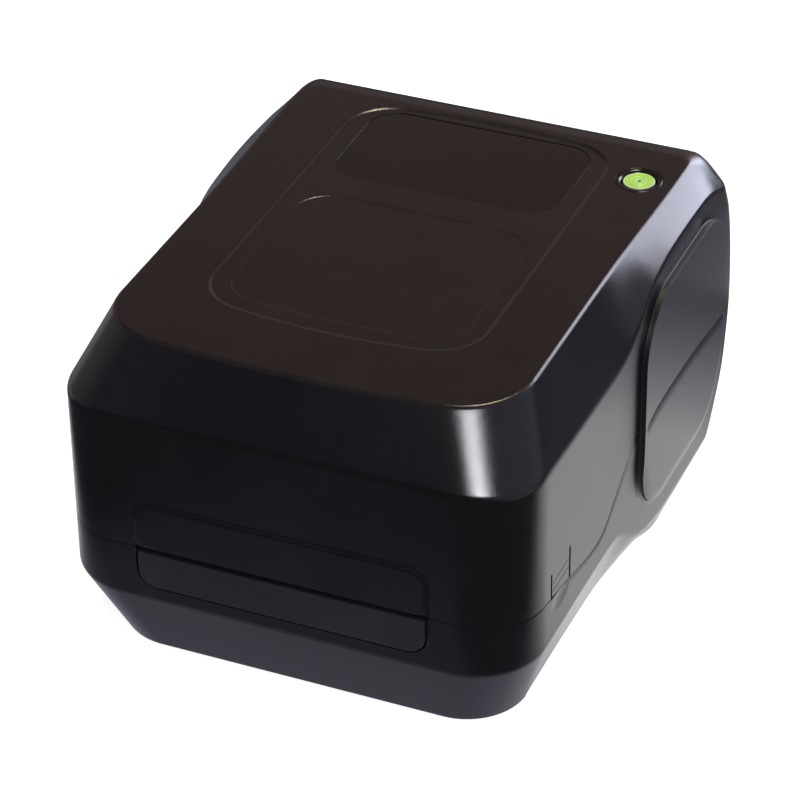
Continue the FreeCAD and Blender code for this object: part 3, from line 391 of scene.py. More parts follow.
def tidy(obj, angle=32.0, weighted=True):
    me = obj.data
    bm = bmesh.new()
    bm.from_mesh(me)
    bmesh.ops.remove_doubles(bm, verts=bm.verts, dist=2e-7)
    bmesh.ops.dissolve_degenerate(bm, dist=1e-7, edges=bm.edges)
    crumbs, seen = [], set()
    for f in bm.faces:
        if f in seen:
            continue
        island, todo = [], [f]
        seen.add(f)
        while todo:
            g = todo.pop()
            island.append(g)
            for e in g.edges:
                for h in e.link_faces:
                    if h not in seen:
                        seen.add(h)
                        todo.append(h)
        if len(island) < 8 and len(bm.faces) > 200:
            crumbs += island
    if crumbs:
        bmesh.ops.delete(bm, geom=crumbs, context="FACES")
    bmesh.ops.delete(bm, geom=[e for e in bm.edges if e.is_wire], context="EDGES")
    bmesh.ops.delete(bm, geom=[v for v in bm.verts if not v.link_faces], context="VERTS")
    bm.to_mesh(me)
    bm.free()
    me.shade_smooth()
    me.set_sharp_from_angle(angle=math.radians(angle))
    if obj.name in SURFACES and weighted and not obj.modifiers:
        resurface(obj)
    elif weighted:
        w = obj.modifiers.new("normals", "WEIGHTED_NORMAL")
        w.keep_sharp, w.weight = True, 60
    return obj


def prism_box(name, x0, x1, y0, y1, z0, z1):
    b = Build()
    lo = b.loop([(x0, y0, z0), (x1, y0, z0), (x1, y1, z0), (x0, y1, z0)])
    hi = b.loop([(x0, y0, z1), (x1, y0, z1), (x1, y1, z1), (x0, y1, z1)])
    b.bridge(lo, hi)
    b.f += [tuple(lo[::-1]), tuple(hi)]
    return b.object(name)


def rounded_rect(a0, a1, b0, b1, r, n=10):
    pts = []
    for ca, cb, s in ((a1 - r, b1 - r, 0), (a0 + r, b1 - r, 90), (a0 + r, b0 + r, 180), (a1 - r, b0 + r, 270)):
        for k in range(n + 1):
            t = math.radians(s + 90 * k / n)
            pts.append((ca + r * math.cos(t), cb + r * math.sin(t)))
    return pts


def prism_y(name, outline, y0, y1):
    """Prism along Y from an outline in (x, z)."""
    b = Build()
    lo = b.loop([(x, y0, z) for x, z in outline])
    hi = b.loop([(x, y1, z) for x, z in outline])
    b.bridge(lo, hi)
    b.fill([lo], 1)
    b.fill([hi], 1)
    return b.object(name)


def cylinder_x(name, r, x0, x1, y, z, n=96):
    b = Build()
    a = np.linspace(0, 2 * math.pi, n, endpoint=False)
    lo = b.loop([(x0, y + r * math.cos(t), z + r * math.sin(t)) for t in a])
    hi = b.loop([(x1, y + r * math.cos(t), z + r * math.sin(t)) for t in a])
    b.bridge(lo, hi)
    b.f += [tuple(lo), tuple(hi)]
    return b.object(name)


# ------------------------------------------------------------------ slabs raised from a wall
def rim_distance(p, c, half, r):
    """Depth inside a rounded rectangle with centre c, half sizes and corner radius r."""
    q = np.abs(p - c) - (half - r)
    return -(np.linalg.norm(np.maximum(q, 0), axis=-1) + np.minimum(np.max(q, axis=-1), 0) - r)


def slab(name, boundary, centre, depth, height, levels, put, foot):
    """Raised field: boundary is its outline, depth(p) the distance inside it, height(p) its rise,
    put(a, b, h) the 3-D point; foot is the height of its hidden back."""
    bd = np.array(boundary, float)
    ray = np.asarray(centre, float) - bd
    b = Build()
    back = b.loop([put(p[0], p[1], foot) for p in bd])
    loops = [back]
    for lv in levels:
        if lv <= 0:
            pts = bd.copy()
        else:
            lo, hi = np.zeros(len(bd)), np.full(len(bd), 0.92)
            for _ in range(40):
                mid = (lo + hi) / 2
                less = depth(bd + ray * mid[:, None]) < lv
                lo, hi = np.where(less, mid, lo), np.where(less, hi, mid)
            pts = bd + ray * hi[:, None]
        h = height(pts)
        loops.append(b.loop([put(p[0], p[1], hh) for p, hh in zip(pts, h)]))
    b.stack(loops)
    drop = int(np.argmin(np.abs(np.ptp(np.array([put(p[0], p[1], 0.0) for p in bd]), axis=0))))
    b.fill([loops[-1]], drop)
    b.fill([back], drop)
    return b.object(name)


def dense(pts, step, closed=True):
    """Points along a polyline at about one step apart, corners kept."""
    out = []
    n = len(pts)
    for i in range(n if closed else n - 1):
        p, q = np.array(pts[i], float), np.array(pts[(i + 1) % n], float)
        k = max(1, int(math.ceil(np.linalg.norm(q - p) / step)))
        out += [tuple(p + (q - p) * j / k) for j in range(k)]
    if not closed:
        out.append(tuple(pts[-1]))
    return out


CHEEK_C, CHEEK_H, CHEEK_R = np.array([63.25, 87.9]), np.array([59.25, 61.1]), 34.5


# profile of the cheek's rim: soft apron, cove, upright riser, rounded crest
CHEEK_D = [0.0, 0.6, 1.2, 1.8, 2.4, 3.0] + [3.0 + 0.35 * math.sin(math.radians(a)) for a in (30, 50, 65, 77, 86)] + \
    [3.375 + 0.3 * (1 - math.cos(math.radians(a))) for a in (10, 25, 40, 55, 72, 90)]
CHEEK_RISE = [0.0, 0.02, 0.08, 0.18, 0.32, 0.5] + [0.5 + 0.35 * (1 - math.cos(math.radians(a))) + 0.36 * 0.35 * math.sin(math.radians(a)) for a in (30, 50, 65, 77, 86)] + \
    [2.7 + 0.3 * math.sin(math.radians(a)) for a in (10, 25, 40, 55, 72, 90)]


def cheek(name, sign, upper):
    """Half of the raised cheek on one side, above or below the parting line."""
    gap = 0.3 if upper else -0.3
    rim = dense(rounded_rect(4.0, 122.5, 26.8, 149.0, 34.5, 24), 2.0)
    keep = [p for p in rim if (p[1] > seam(p[0]) + gap + 0.4) == upper and abs(p[1] - seam(p[0]) - gap) > 0.4]
    ys = np.unique(np.concatenate([np.linspace(8.5, 118.0, 58), 4.0 + np.array(CHEEK_D), 122.5 - np.array(CHEEK_D)]))
    ring = sorted(keep, key=lambda p: math.atan2(p[1] - (40.0 if upper else 135.0), p[0] - 63.75))
    ring += [(y, float(seam(y)) + gap) for y in (ys if upper else ys[::-1])]
    slope = lambda y: (seam(y + 0.5) - seam(y - 0.5))
    side = 1.0 if upper else -1.0

    def d_seam(p):
        return side * (p[:, 1] - seam(p[:, 0]) - gap) / np.sqrt(1 + slope(p[:, 0]) ** 2)

    d_rim = lambda p: rim_distance(p, CHEEK_C, CHEEK_H, CHEEK_R)
    deep, wide, power = (0.3, 0.5, 2.0) if upper else (0.95, 6.0, 2.0)

    def height(p):
        d = np.maximum(d_rim(p), 0)
        h = np.interp(d, CHEEK_D, CHEEK_RISE)
        s = 3.0 - deep * ease((d - 3.7) / 6.0) * np.clip(1 - np.maximum(d_seam(p), 0) / wide, 0, 1) ** power
        s = s - (0.0 if upper else 1.1) * ease((72 - p[:, 1]) / 34) * np.clip(1 - np.maximum(d - 3.7, 0) / 6.5, 0, 1) ** 2
        return np.minimum(h, s) - 0.02

    return slab(name, ring, (63.75, 112.0 if upper else 58.0), lambda p: np.minimum(d_rim(p), np.interp(d_seam(p), [-9, 0, 0.5, 90], [-9, 0, 4.0, 93.5])), height,
                CHEEK_D + [4.4, 5.2, 6.2, 7.4, 8.8, 10.4],
                lambda a, c, h: (sign * (lerp(float(wall_x(a, c)), HW, min(max(h / 3, 0), 1)) + h), a, c), -2.3)


def pad_slab(name, half, z0, z1, r, keep_from, keep_to, rise, run, edge, foot):
    """Raised pad on the front, a rounded rectangle cut off along a level line."""
    rim = dense(rounded_rect(-half, half, z0, z1, r, 14), 2.0)
    c, hs = np.array([0.0, (z0 + z1) / 2]), np.array([half, (z1 - z0) / 2])
    cut_low = keep_from > z0
    cut = keep_from if cut_low else keep_to
    sgn = 1.0 if cut_low else -1.0
    keep = [p for p in rim if sgn * (p[1] - cut) > 0.3]
    mid = (0.0, (max(z0, keep_from) + min(z1, keep_to)) / 2)
    ring = sorted(keep, key=lambda p: math.atan2(p[1] - cut, p[0]) if cut_low else -math.atan2(cut - p[1], p[0]))
    xs = np.linspace(-half, half, 60)
    ring += [(x, cut) for x in (xs if cut_low else xs[::-1])]
    d_cut = lambda p: sgn * (p[:, 1] - cut)
    d_rim = lambda p: rim_distance(p, c, hs, r)

    def height(p):
        h = rise * ease(np.maximum(d_rim(p), 0) / run)
        return np.minimum(h, rise - 0.3 * np.clip(1 - d_cut(p) / edge, 0, 1) ** 2)

    return slab(name, ring, mid, lambda p: np.minimum(d_rim(p), d_cut(p)), height,
                [0, 0.15 * run, 0.35 * run, 0.5 * run, 0.65 * run, 0.85 * run, run, run + 0.4],
                lambda a, b, h: (a, FRONT - h, b), foot)


# ------------------------------------------------------------------ cover
def cover_solid():
    levels = [K_IN, K0] + between(K0, K1, 6) + [K1] + between(K1, S_UP, 10, wall=True) + [S_UP, S_UP_I] + \
        between(S_UP_I, K1_I, 4, inner=True, wall=True) + [K1_I, K0_I, K0_II]
    rows = [full_loop(station_line(L)) for L in levels]
    k_seam, k_low, k_ridge = 2 + 6 + 1 + 10, 2 + 6, 1
    rows = soften(rows, k_seam, 0.2, 3)
    rows = soften(rows, k_low, 2.2, 7)
    rows = soften(rows, k_ridge, 1.7, 8)
    b = Build()
    loops = [b.loop(r) for r in rows]
    b.stack(loops)
    # button hole
    hole = [b.loop(circle(82.1, 84.0, r, z)) for r, z in ((11.3, TOP), (11.12, 166.92), (11.06, 166.7), (11.06, 162.4))]
    b.stack(hole)
    # sunk field with bowed ends, shallow hand pad and window seat in its floor
    field = []
    for u in np.linspace(0, 1, 11):
        field.append(b.loop(bowed(66.4, -89.0, 109.6, 24.5, 3.8, 2.6, TOP - 0.6 * float(ease(u)), inset=2.3 * u)))
    b.stack(field)
    hand = []
    for ins, dz in ((0, 0.6), (0.13, 0.624), (0.26, 0.68), (0.39, 0.736), (0.52, 0.76)):
        hand.append(b.loop(bowed(56.8, -77.8, 21.0, 18.0, 1.6, 0.6, TOP - dz, inset=ins)))
    b.stack(hand)
    seat = [b.loop(bowed(55.63 + g, 38.27 - g, 103.03 + g, 15.03 + g, 0.0, 0.0, z)) for g, z in ((0.22, 166.4), (0.07, 166.36), (0, 166.22), (0, 164.9))]
    b.stack(seat)
    light = [b.loop(bowed(50.6, 43.3, 98.0, 11.0, 0.0, 0.0, z)) for z in (164.9, 162.4)]
    b.stack(light)
    b.fill([loops[0], hole[0], field[0]], 2)
    b.fill([field[-1], hand[0], seat[0]], 2)
    b.fill([hand[-1]], 2)
    b.fill([seat[-1], light[0]], 2)
    b.fill([loops[-1], hole[-1], light[-1]], 2)
    o = b.object("printer_cover")
    for s in (-1, 1):
        boolean(o, cheek("cheek", s, True), "UNION")
    boolean(o, pad_slab("pad", 70.7, 40.0, 95.7, 10.2, 70.4, 120.0, 1.2, 2.6, 0.6, -1.4), "UNION")
    boolean(o, prism_box("slot", -69.4, 69.4, -150, -134, 60, 71.3))
    for s in (-1, 1):
        x = sorted((s * 100, s * 120))
        boolean(o, prism_box("latch_window", x[0], x[1], -105.2, -80.9, 50, 79.2))
        x = sorted((s * 89.8, s * 94.8))
        boolean(o, prism_box("hinge_notch", x[0], x[1], 122, 150, 70, 101))
    return o


def base_solid():
    levels = [K4_IN, K4] + between(K4, K3, 5) + [K3] + between(K3, S_DN, 10, wall=True) + [S_DN, S_DN_I] + \
        between(S_DN_I, K3_I, 4, inner=True, wall=True) + [K3_I, K4_I, K4_II]
    rows = [full_loop(station_line(L)) for L in levels]
    rows = soften(rows, 2 + 5 + 1 + 10, 0.15, 3)
    rows = soften(rows, 2 + 5, 2.0, 7)
    rows = soften(rows, 1, 1.2, 5)
    b = Build()
    loops = [b.loop(r) for r in rows]
    b.stack(loops)
    b.fill([loops[0]], 2)
    b.fill([loops[-1]], 2)
    o = b.object("printer_base")
    for s in (-1, 1):
        boolean(o, cheek("cheek", s, False), "UNION")
    boolean(o, pad_slab("pad", 70.7, 48.7, 100.0, 11.2, 0.0, 69.6, 1.2, 1.3, 0.6, -1.4), "UNION")
    boolean(o, prism_y("panel_cut", rounded_rect(-69.6, 69.6, 49.5, 120.0, 9.6), -150, -136))
    boolean(o, prism_y("rear_slot", rounded_rect(-60, 60, 61.5, 70.5, 2.0, 5), 120, 150))
    boolean(o, prism_y("port_a", rounded_rect(72.2, 87.1, 49.2, 69.8, 1.0, 4), 112, 150))
    boolean(o, prism_y("port_b", rounded_rect(72.2, 87.1, 31.2, 44.8, 1.0, 4), 112, 150))
    boolean(o, prism_y("port_c", rounded_rect(-88.4, -72.2, 49.6, 64.4, 1.0, 4), 112, 150))
    boolean(o, prism_y("port_d", rounded_rect(-86.9, -72.2, 32.6, 44.9, 1.0, 4), 112, 150))
    return o


# ------------------------------------------------------------------ smaller solids
def body_of(node):
    return NODES[node]["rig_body"]


def twin(obj, name):
    o = obj.copy()
    o.data = obj.data.copy()
    o.name = name
    scene.collection.objects.link(o)
    if obj.name in SURFACES:
        SURFACES[o.name] = list(SURFACES[obj.name])
    return o


def ellipsoid(name, c, radii, n=72):
    b = Build()
    rings = []
    for k in range(1, n // 2):
        t = math.pi * k / (n // 2)
        a = np.linspace(0, 2 * math.pi, n, endpoint=False)
        rings.append(b.loop(np.stack([c[0] + radii[0] * math.sin(t) * np.cos(a), c[1] + radii[1] * math.sin(t) * np.sin(a),
                                      np.full(n, c[2] + radii[2] * math.cos(t))], 1)))
    b.stack(rings)
    b.f += [tuple(rings[0]), tuple(rings[-1])]
    return b.object(name)


def lathe(b, prof, cx, cy, n=96, ring=False):
    """Adds a turned solid; prof runs axis to axis, or round a closed section when ring is set."""
    loops = [b.loop(circle(cx, cy, r, z, n)) for r, z in prof]
    b.stack(loops)
    if ring:
        b.bridge(loops[-1], loops[0])
    else:
        b.f += [tuple(loops[0]), tuple(loops[-1])]


def lathe_y(b, prof, cx, cz, n=48):
    """Turned solid about an axis along Y; prof is (radius, y)."""
    a = np.linspace(0, 2 * math.pi, n, endpoint=False)
    loops = [b.loop(np.stack([cx + r * np.cos(a), np.full(n, y), cz + r * np.sin(a)], 1)) for r, y in prof]
    b.stack(loops)
    b.f += [tuple(loops[0]), tuple(loops[-1])]


def edge_round(obj, width, angle=40.0, segments=2):
    m = obj.modifiers.new("edge", "BEVEL")
    m.width, m.segments, m.limit_method, m.angle_limit = width * MM, segments, "ANGLE", math.radians(angle)
    m.use_clamp_overlap = True
    return obj


def settle(obj, node, body=None):
    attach(obj, body or body_of(node))
    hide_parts(node)
    return obj


# ------------------------------------------------------------------ shells
cover = cover_solid()
base = base_solid()
for s in (-1, 1):
    boolean(base, ellipsoid("scoop", (s * 119.4, -93.0, 60.5), (8.0, 29.0, 14.5), 120))
FEET = [(sx * 74.0, fy) for sx in (1, -1) for fy in (-104.0, 72.0)]
for fx, fy in FEET:
    q = Build()
    lathe(q, [(9.7, 2.0), (9.7, 3.0), (9.5, 3.1)], fx, fy)
    boolean(base, q.object("foot_seat"))
q = Build()
q_loops = [q.loop([(x, y, z) for x, y in rounded_rect(-44, 44, -58, -8, 4.0)]) for z in (2.0, 2.95)]
q.stack(q_loops)
q.fill([q_loops[0]], 2)
q.fill([q_loops[1]], 2)
boolean(base, q.object("plate_seat"))
for s in (-1, 1):
    lobe = twin(base, "hinge_lobe")
    x = sorted((s * 98.0, s * 114.0))
    boolean(lobe, cylinder_x("lobe_keep", 16.3, x[0], x[1], 133, 92), "INTERSECT")
    for v in lobe.data.vertices:
        if v.co.z / MM > seam(v.co.y / MM) - part_gap(v.co.y / MM) - 0.05:
            v.co.z += 0.9 * MM
    boolean(cover, lobe, "UNION")
boolean(base, cylinder_x("relief", 16.6, -130, 130, 133, 92))
rear = twin(base, "rear_moulding")
boolean(rear, prism_box("rear_keep", -95.8, 95.8, 112, 150, 26.2, 90), "INTERSECT")
boolean(base, prism_box("rear_gap", -96.0, 96.0, 112, 150, 26.0, 90))
for o, node in ((cover, "top_cover"), (base, "base_shell"), (rear, "rear_panel")):
    tidy(o)
    settle(o, node)


# ------------------------------------------------------------------ panel under the slot
def slot_panel():
    def outline(i):
        half, z0, z1, r = 68.8 - i, 50.3 + i, 68.5 - i, 9.0 - i
        pts = [(half, z1), (-half, z1)]
        for cx, a0 in ((-half + r, 180.0), (half - r, 270.0)):
            pts += [(cx + r * math.cos(math.radians(a0 + 90 * k / 14)), z0 + r + r * math.sin(math.radians(a0 + 90 * k / 14))) for k in range(15)]
        return pts
    b = Build()
    loops = [b.loop([(x, y, z) for x, z in outline(i)]) for i, y in
             ((0.0, -139.8), (0.0, -142.75), (0.04, -142.9), (0.15, -143.07), (0.29, -143.17), (0.45, -143.2))]
    b.stack(loops)
    b.fill([loops[0]], 1)
    b.fill([loops[-1]], 1)
    o = b.object("slot_panel")
    for s in (-1, 1):
        boolean(o, prism_box("clip", s * 55 - 5, s * 55 + 5, -140.2, -134.0, 52.0, 54.0), "UNION")
    return tidy(o)


panel = settle(slot_panel(), "front_panel")


# ------------------------------------------------------------------ lid latches
def latch(name, s):
    b = Build()
    tri = lambda x, top: [(s * x, y, z) for y, z in ((-103.5, 66.3), (-82.6, 62.6), (-82.6, top), (-103.5, top))]
    lo, hi = b.loop(tri(109.5, 78.8)), b.loop(tri(111.97, 79.15))
    b.bridge(lo, hi)
    b.f += [tuple(lo), tuple(hi)]
    o = b.object(name)
    for z in (68.7, 73.0):
        x = sorted((s * 111.5, s * 113))
        boolean(o, prism_box("groove", x[0], x[1], -102.9, -83.2, z, z + 0.5))
    x = sorted((s * 104.6, s * 110.0))
    boolean(o, prism_box("arm", x[0], x[1], -98, -88, 70, 76), "UNION")
    x = sorted((s * 104.6, s * 106.9))
    boolean(o, prism_box("hook", x[0], x[1], -98, -88, 50.5, 73), "UNION")
    edge_round(o, 0.1)
    return tidy(o)


latch_a = settle(latch("latch_tab_left", -1), "latch_left")
latch_b = settle(latch("latch_tab_right", 1), "latch_right")

# ------------------------------------------------------------------ feed button, its ring, the window, the feet
q = Build()
top = 166.66
prof = [(0.05, 166.2), (0.7, 166.2), (0.92, 166.32), (1.05, 166.55), (1.2, top)]
for r in (2.4, 3.8, 5.2, 6.4):
    prof += [(r - 0.28, top), (r - 0.14, top - 0.1), (r + 0.14, top - 0.1), (r + 0.28, top)]
prof += [(7.05, top), (7.25, top - 0.06), (7.45, top - 0.2), (7.6, top - 0.45), (7.68, top - 0.9), (7.7, top - 1.5),
         (7.7, 160.2), (7.5, 160.0), (3.0, 160.0), (3.0, 154.2), (2.8, 154.0), (0.05, 154.0)]
lathe(q, prof, 82.1, 84.0, 128)
key = settle(tidy(q.object("feed_key"), 38), "feed_button")
q = Build()
lathe(q, [(7.95, 158.0), (11.0, 158.0), (11.0, 166.35), (10.94, 166.62), (10.77, 166.84), (10.5, 166.96), (10.2, 167.0), (9.7, 166.95),
          (9.2, 166.78), (8.7, 166.42), (8.25, 165.8), (8.03, 165.2), (7.95, 164.6)], 82.1, 84.0, 128, True)
key_ring = settle(tidy(q.object("key_ring")), "button_bezel")
q = Build()
loops = [q.loop(bowed(55.6, 38.3, 103.0, 15.0, 0.0, 0.0, z, inset=i)) for i, z in
         ((0.15, 165.0), (0.0, 165.1), (0.0, 165.92), (0.04, 166.02), (0.12, 166.08), (0.24, 166.1))]
q.stack(loops)
q.fill([loops[0]], 2)
q.fill([loops[-1]], 2)
window = settle(tidy(q.object("lid_window")), "window")
q = Build()
for fx, fy in FEET:
    lathe(q, [(0.05, 3.0), (9.0, 3.0), (9.0, 0.7), (8.86, 0.34), (8.5, 0.09), (8.0, 0.0), (6.7, 0.0), (6.5, 0.28), (5.9, 0.28), (5.7, 0.0),
              (3.9, 0.0), (3.7, 0.28), (3.1, 0.28), (2.9, 0.0), (0.05, 0.0)], fx, fy)
feet = settle(tidy(q.object("foot_set")), "rubber_feet")


# ------------------------------------------------------------------ coil springs of the print head
def coil(b, cx, cy, z0, z1, r, wire, turns, n=30, m=12):
    pts = []
    total = turns + 2.0
    for k in range(int(total * n) + 1):
        t = k / n
        rise = np.clip((t - 1.0) / turns, 0, 1) * (z1 - z0 - 2.2 * wire) + 2.2 * wire * 0.5 * (min(t, 1.0) + max(t - 1.0 - turns, 0))
        a = 2 * math.pi * t
        pts.append((cx + r * math.cos(a), cy + r * math.sin(a), z0 + rise))
    pts = np.array(pts)
    tan = np.gradient(pts, axis=0)
    tan /= np.linalg.norm(tan, axis=1)[:, None]
    rad = np.stack([(pts[:, 0] - cx) / r, (pts[:, 1] - cy) / r, np.zeros(len(pts))], 1)
    up = np.cross(tan, rad)
    loops = []
    for p, u, v in zip(pts, rad, up):
        loops.append(b.loop([p + wire * (math.cos(a) * u + math.sin(a) * v) for a in np.linspace(0, 2 * math.pi, m, endpoint=False)]))
    b.stack(loops)
    b.f += [tuple(loops[0]), tuple(loops[-1])]


q = Build()
for s in (-1, 1):
    coil(q, s * 35.0, -113.0, 85.0, 97.2, 4.0, 0.62, 4.0)
coils = settle(tidy(q.object("head_coils"), 60, False), "head_springs")


# ------------------------------------------------------------------ sockets at the rear
def through(name, outline, y0, y1):
    """Prism along y of an outline given as x, z."""
    b = Build()
    loops = [b.loop([(x, y, z) for x, z in outline]) for y in (y0, y1)]
    b.stack(loops)
    b.fill([loops[0]], 1)
    b.fill([loops[1]], 1)
    return b.object(name)


def disc_y(cx, cz, r, n=48):
    return [(cx + r * math.cos(2 * math.pi * k / n), cz + r * math.sin(2 * math.pi * k / n)) for k in range(n)]


usb = prism_box("usb_socket", -86.6, -72.5, 117.0, 133.8, 32.9, 44.6)
boolean(usb, through("mouth", [(-84.3, 34.8), (-75.7, 34.8), (-75.7, 41.2), (-77.2, 42.7), (-82.8, 42.7), (-84.3, 41.2)], 124.8, 140.0))
boolean(usb, prism_box("tongue", -82.8, -77.2, 124.0, 132.2, 37.2, 40.3), "UNION")
USB_PINS = [(x, z) for x in (-81.4, -78.6) for z in (37.2, 40.3)]
for x, z in USB_PINS:
    boolean(usb, prism_box("pin", x - 0.5, x + 0.5, 124.2, 131.6, z - 0.12, z + 0.12), "UNION")
edge_round(usb, 0.12)
usb = settle(tidy(usb), "usb_port")

net = prism_box("net_socket", -88.1, -72.5, 117.0, 138.0, 49.9, 64.1)
boolean(net, through("mouth", [(-86.2, 52.4), (-83.3, 52.4), (-83.3, 50.9), (-77.3, 50.9), (-77.3, 52.4), (-74.4, 52.4), (-74.4, 61.0), (-86.2, 61.0)], 124.0, 145.0))
NET_PINS = [-80.3 + 1.15 * (k - 3.5) for k in range(8)]
for x in NET_PINS:
    q = Build()
    loops = [q.loop([(x - 0.22, y, z), (x + 0.22, y, z), (x + 0.22, y, z + 0.4), (x - 0.22, y, z + 0.4)]) for y, z in ((123.6, 55.6), (126.0, 56.2), (136.4, 60.8))]
    q.stack(loops)
    q.f += [tuple(loops[0][::-1]), tuple(loops[-1])]
    boolean(net, q.object("pin"), "UNION")
edge_round(net, 0.1)
net = settle(tidy(net), "network_port")

jack = prism_box("jack_socket", 72.5, 86.8, 117.0, 133.4, 31.5, 44.5)
boolean(jack, through("lip", disc_y(80.0, 38.0, 4.3), 132.8, 140.0))
boolean(jack, through("bore", disc_y(80.0, 38.0, 3.2), 124.0, 140.0))
boolean(jack, through("pin", disc_y(80.0, 38.0, 1.0, 24), 122.0, 131.8), "UNION")
edge_round(jack, 0.2)
jack = settle(tidy(jack), "power_inlet")
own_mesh(coils)


# ------------------------------------------------------------------ finishes
def new_mat(name):
    m = bpy.data.materials.new(name)
    m.use_nodes = True
    nt = m.node_tree
    return m, nt, nt.nodes["Principled BSDF"]


def tex_noise(nt, co, scale, detail=2.0, rough=0.5, stretch=None):
    n = nt.nodes.new("ShaderNodeTexNoise")
    n.inputs["Scale"].default_value = scale
    n.inputs["Detail"].default_value = detail
    n.inputs["Roughness"].default_value = rough
    src = co.outputs["Object"]
    if stretch:
        mp = nt.nodes.new("ShaderNodeMapping")
        mp.inputs["Scale"].default_value = stretch
        nt.links.new(src, mp.inputs["Vector"])
        src = mp.outputs["Vector"]
    nt.links.new(src, n.inputs["Vector"])
    return n


def tint(nt, fac, stops, level=1.0):
    r = nt.nodes.new("ShaderNodeValToRGB")
    while len(r.color_ramp.elements) < len(stops):
        r.color_ramp.elements.new(0.5)
    for e, (pos, c) in zip(r.color_ramp.elements, stops):
        e.position, e.color = pos, (*(level * k for k in c), 1)
    nt.links.new(fac, r.inputs["Fac"])
    return r.outputs["Color"]


def span(nt, fac, lo, hi, a=0.3, b=0.7):
    r = nt.nodes.new("ShaderNodeMapRange")
    r.inputs["From Min"].default_value, r.inputs["From Max"].default_value = a, b
    r.inputs["To Min"].default_value, r.inputs["To Max"].default_value = lo, hi
    nt.links.new(fac, r.inputs["Value"])
    return r.outputs["Result"]


def relief(nt, p, height, strength, distance):
    bump = nt.nodes.new("ShaderNodeBump")
    bump.inputs["Strength"].default_value = strength
    bump.inputs["Distance"].default_value = distance
    nt.links.new(height, bump.inputs["Height"])
    nt.links.new(bump.outputs["Normal"], p.inputs["Normal"])


def moulded(name, color, rough, spec, grain=0.25, grain_scale=2600, spread=0.14, wide_scale=38, dr=0.03):
    """Moulded plastic: slow drift of tone and gloss, fine spark-eroded grain."""
    m, nt, p = new_mat(name)
    co = nt.nodes.new("ShaderNodeTexCoord")
    wide = tex_noise(nt, co, wide_scale, 3.0)
    fine = tex_noise(nt, co, grain_scale, 2.0)
    nt.links.new(tint(nt, wide.outputs["Fac"], [(0.35, [c * (1 - spread) for c in color]), (0.65, [c * (1 + spread) for c in color])]), p.inputs["Base Color"])
    nt.links.new(span(nt, wide.outputs["Fac"], rough - dr, rough + dr), p.inputs["Roughness"])
    relief(nt, p, fine.outputs["Fac"], grain, 0.00008)
    p.inputs["Specular IOR Level"].default_value = spec
    return m


def metal(name, color, rough, stretch, scale=420, spread=0.1, bump=0.12, dr=0.08):
    """Bare metal with rolling or turning marks drawn out along one direction."""
    m, nt, p = new_mat(name)
    co = nt.nodes.new("ShaderNodeTexCoord")
    marks = tex_noise(nt, co, scale, 4.0, 0.6, stretch)
    wide = tex_noise(nt, co, 30, 2.0)
    nt.links.new(tint(nt, wide.outputs["Fac"], [(0.3, [c * (1 - spread) for c in color]), (0.7, [min(1.0, c * (1 + spread)) for c in color])]), p.inputs["Base Color"])
    nt.links.new(span(nt, marks.outputs["Fac"], rough - dr, rough + dr), p.inputs["Roughness"])
    relief(nt, p, marks.outputs["Fac"], bump, 0.00005)
    p.inputs["Metallic"].default_value = 1.0
    return m


def board(name):
    """Green solder mask over copper tracks and pads."""
    m, nt, p = new_mat(name)
    co = nt.nodes.new("ShaderNodeTexCoord")
    tracks = nt.nodes.new("ShaderNodeTexBrick")
    tracks.inputs["Scale"].default_value = 90
    tracks.inputs["Mortar Size"].default_value = 0.06
    tracks.inputs["Color1"].default_value = (0.006, 0.060, 0.022, 1)
    tracks.inputs["Color2"].default_value = (0.008, 0.075, 0.030, 1)
    tracks.inputs["Mortar"].default_value = (0.016, 0.150, 0.050, 1)
    nt.links.new(co.outputs["Object"], tracks.inputs["Vector"])
    pads = nt.nodes.new("ShaderNodeTexVoronoi")
    pads.inputs["Scale"].default_value = 210
    nt.links.new(co.outputs["Object"], pads.inputs["Vector"])
    spot = span(nt, pads.outputs["Distance"], 1.0, 0.0, 0.10, 0.13)
    blend = nt.nodes.new("ShaderNodeMix")
    blend.data_type = "RGBA"
    nt.links.new(spot, blend.inputs[0])
    nt.links.new(tracks.outputs["Color"], blend.inputs[6])
    blend.inputs[7].default_value = (0.62, 0.52, 0.30, 1)
    nt.links.new(blend.outputs[2], p.inputs["Base Color"])
    nt.links.new(span(nt, spot, 0.32, 0.22, 0.0, 1.0), p.inputs["Roughness"])
    nt.links.new(spot, p.inputs["Metallic"])
    relief(nt, p, tracks.outputs["Fac"], 0.3, 0.00005)
    return m


